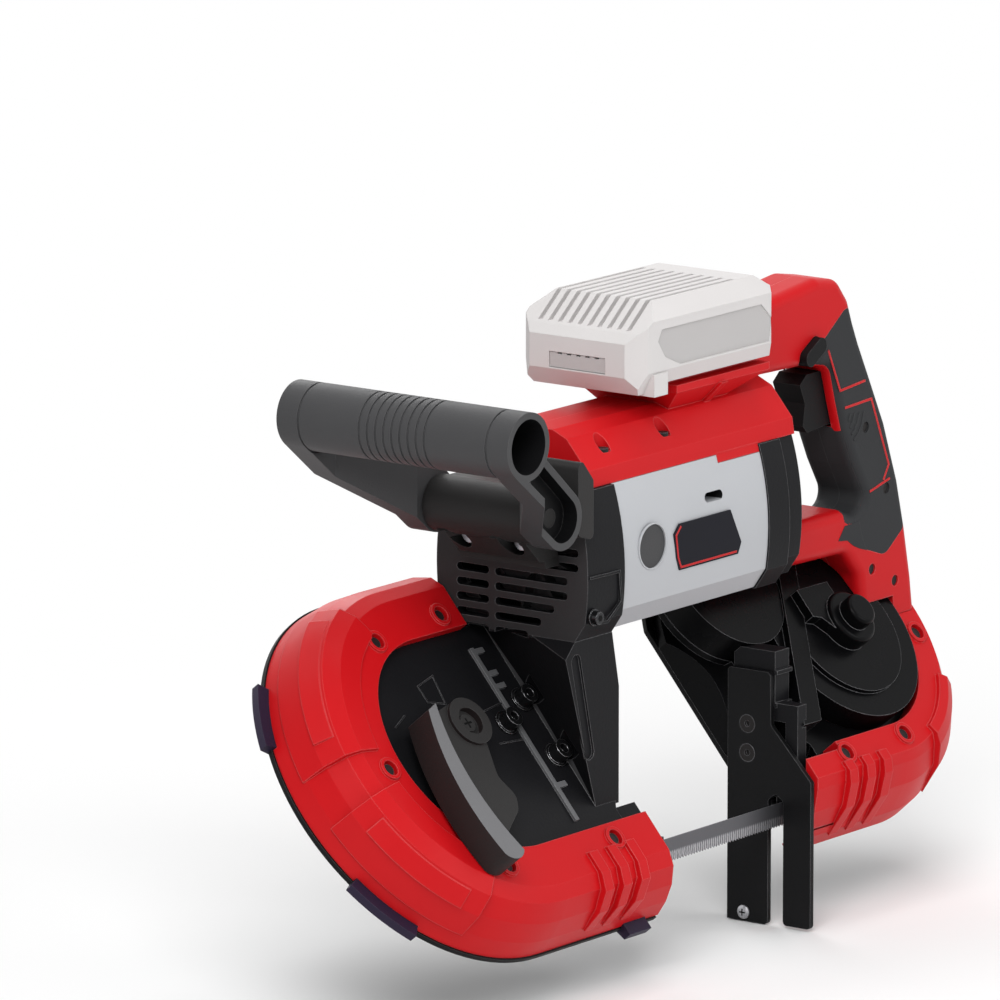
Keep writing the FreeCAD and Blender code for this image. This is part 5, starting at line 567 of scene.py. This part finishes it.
RUNG_HEIGHTS = (76.5, 58.5)
RUNG_FRONT, RUNG_BACK = 3.0, 17.0
for number, height in enumerate(RUNG_HEIGHTS):
    ribbon(f"guide_rung_{number}", side_plane(6.0), ((RUNG_FRONT, height), (RUNG_BACK, height)),
           3.0, 1.5, CASTING)

# A copy of the tension spring's coil, with a mesh of its own, rides on the frame in place of the hidden part.

coil = bpy.data.objects.new("tension_spring_coil", NODES["tension_spring"].data.copy())
bpy.context.scene.collection.objects.link(coil)
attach(coil, "frame")
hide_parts("tension_spring")
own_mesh(coil)

# Floor and world

FLOOR_Z = START_BOUNDS[0][2] - 0.0006
FLOOR_SIZE = 40.0
FLOOR_WHITE = 0.93
FADE_FROM, FADE_TO = 0.36, 0.80
WORLD_LIGHT = 0.27
MIDDLE = (-60.0, 40.0, 100.0)
SPOT = at(*MIDDLE)


def background_ray(tree):
    """1 for rays that show the background: from the camera, off metal and through glass."""
    paths = node(tree, "ShaderNodeLightPath")
    last = paths.outputs["Is Camera Ray"]
    for ray in ("Is Glossy Ray", "Is Transmission Ray"):
        either = node(tree, "ShaderNodeMath", operation="MAXIMUM")
        tree.links.new(last, either.inputs[0])
        tree.links.new(paths.outputs[ray], either.inputs[1])
        last = either.outputs["Value"]
    return last


def studio_floor():
    """White floor that keeps the shadow near the saw and runs out to the background's white."""
    made = bpy.data.materials.new("floor_white")
    made.use_nodes = True
    tree = made.node_tree
    tree.nodes.clear()
    out = node(tree, "ShaderNodeOutputMaterial")
    matte = node(tree, "ShaderNodeBsdfDiffuse")
    matte.inputs["Color"].default_value = (FLOOR_WHITE, FLOOR_WHITE, FLOOR_WHITE, 1.0)
    white = node(tree, "ShaderNodeEmission")
    place = node(tree, "ShaderNodeTexCoord")
    away = node(tree, "ShaderNodeVectorMath", operation="SUBTRACT")
    away.inputs[1].default_value = (SPOT.x, SPOT.y, 0.0)
    tree.links.new(place.outputs["Object"], away.inputs[0])
    reach = node(tree, "ShaderNodeVectorMath", operation="LENGTH")
    tree.links.new(away.outputs["Vector"], reach.inputs[0])
    fade = node(tree, "ShaderNodeMapRange", interpolation_type="SMOOTHSTEP")
    fade.inputs["From Min"].default_value = FADE_FROM
    fade.inputs["From Max"].default_value = FADE_TO
    tree.links.new(reach.outputs["Value"], fade.inputs["Value"])
    share = node(tree, "ShaderNodeMath", operation="MULTIPLY")
    tree.links.new(background_ray(tree), share.inputs[0])
    tree.links.new(fade.outputs["Result"], share.inputs[1])
    both = node(tree, "ShaderNodeMixShader")
    tree.links.new(share.outputs["Value"], both.inputs[0])
    tree.links.new(matte.outputs["BSDF"], both.inputs[1])
    tree.links.new(white.outputs["Emission"], both.inputs[2])
    tree.links.new(both.outputs["Shader"], out.inputs["Surface"])
    return made


def studio_world():
    """White where it is seen, and a low even light on the saw."""
    made = bpy.data.worlds.new("studio")
    made.use_nodes = True
    tree = made.node_tree
    back = tree.nodes["Background"]
    back.inputs["Color"].default_value = (1.0, 1.0, 1.0, 1.0)
    strength = node(tree, "ShaderNodeMix", data_type="FLOAT")
    strength.inputs["A"].default_value = WORLD_LIGHT
    strength.inputs["B"].default_value = 1.0
    tree.links.new(background_ray(tree), strength.inputs["Factor"])
    tree.links.new(strength.outputs["Result"], back.inputs["Strength"])
    return made


bpy.ops.mesh.primitive_plane_add(size=FLOOR_SIZE, location=(0.0, 0.0, FLOOR_Z))
floor = bpy.context.object
floor.name = "floor"
floor.data.materials.append(studio_floor())
bpy.context.scene.world = studio_world()

# Camera: its turn and lift, and the saw's zero in the photograph, in pixels

TURN, LIFT = 0.9299, 0.2025
FOCAL_PX, PX_PER_MM = 10846.0, 1.8636
IMAGE_PX = 1000.0
ZERO_PX, ZERO_PY = 780.161, 814.444
SENSOR = 36.0
RIGHT = Vector((math.cos(TURN), -math.sin(TURN), 0.0))
LOOK = Vector((math.sin(TURN) * math.cos(LIFT), math.cos(TURN) * math.cos(LIFT), -math.sin(LIFT)))
UP = RIGHT.cross(LOOK)
SIDE = (ZERO_PX - 0.5 * IMAGE_PX) / PX_PER_MM
DROP = (ZERO_PY - 0.5 * IMAGE_PX) / PX_PER_MM
DISTANCE = FOCAL_PX / PX_PER_MM

camera = bpy.data.objects.new("camera", bpy.data.cameras.new("camera"))
bpy.context.scene.collection.objects.link(camera)
camera.data.sensor_width = SENSOR
camera.data.lens = SENSOR * FOCAL_PX / IMAGE_PX
camera.data.clip_end = 100.0
centre = UP * DROP - RIGHT * SIDE - LOOK * DISTANCE
facing = Matrix((RIGHT, UP, -LOOK)).transposed().to_4x4()
camera.matrix_world = Matrix.Translation(at(*centre)) @ facing
bpy.context.scene.camera = camera
bpy.context.scene.view_settings.view_transform = "Standard"

# Lamps: place in the saw frame, size in metres, power

SOFTBOXES = (
    ("key", (-1500.0, -900.0, 1500.0), (1.2, 1.2), 31.0),
    ("fill", (700.0, -1900.0, 900.0), (1.4, 1.0), 14.0),
    ("top", (0.0, 300.0, 2000.0), (1.6, 1.2), 17.0),
    ("rim", (900.0, 1500.0, 1000.0), (0.8, 1.0), 9.0),
)
for name, place, size, power in SOFTBOXES:
    lamp = bpy.data.lights.new(name, "AREA")
    lamp.shape = "RECTANGLE"
    lamp.size, lamp.size_y = size
    lamp.energy = power
    obj = bpy.data.objects.new(name, lamp)
    bpy.context.scene.collection.objects.link(obj)
    obj.location = at(*place)
    obj.rotation_euler = (SPOT - at(*place)).to_track_quat("-Z", "Y").to_euler()
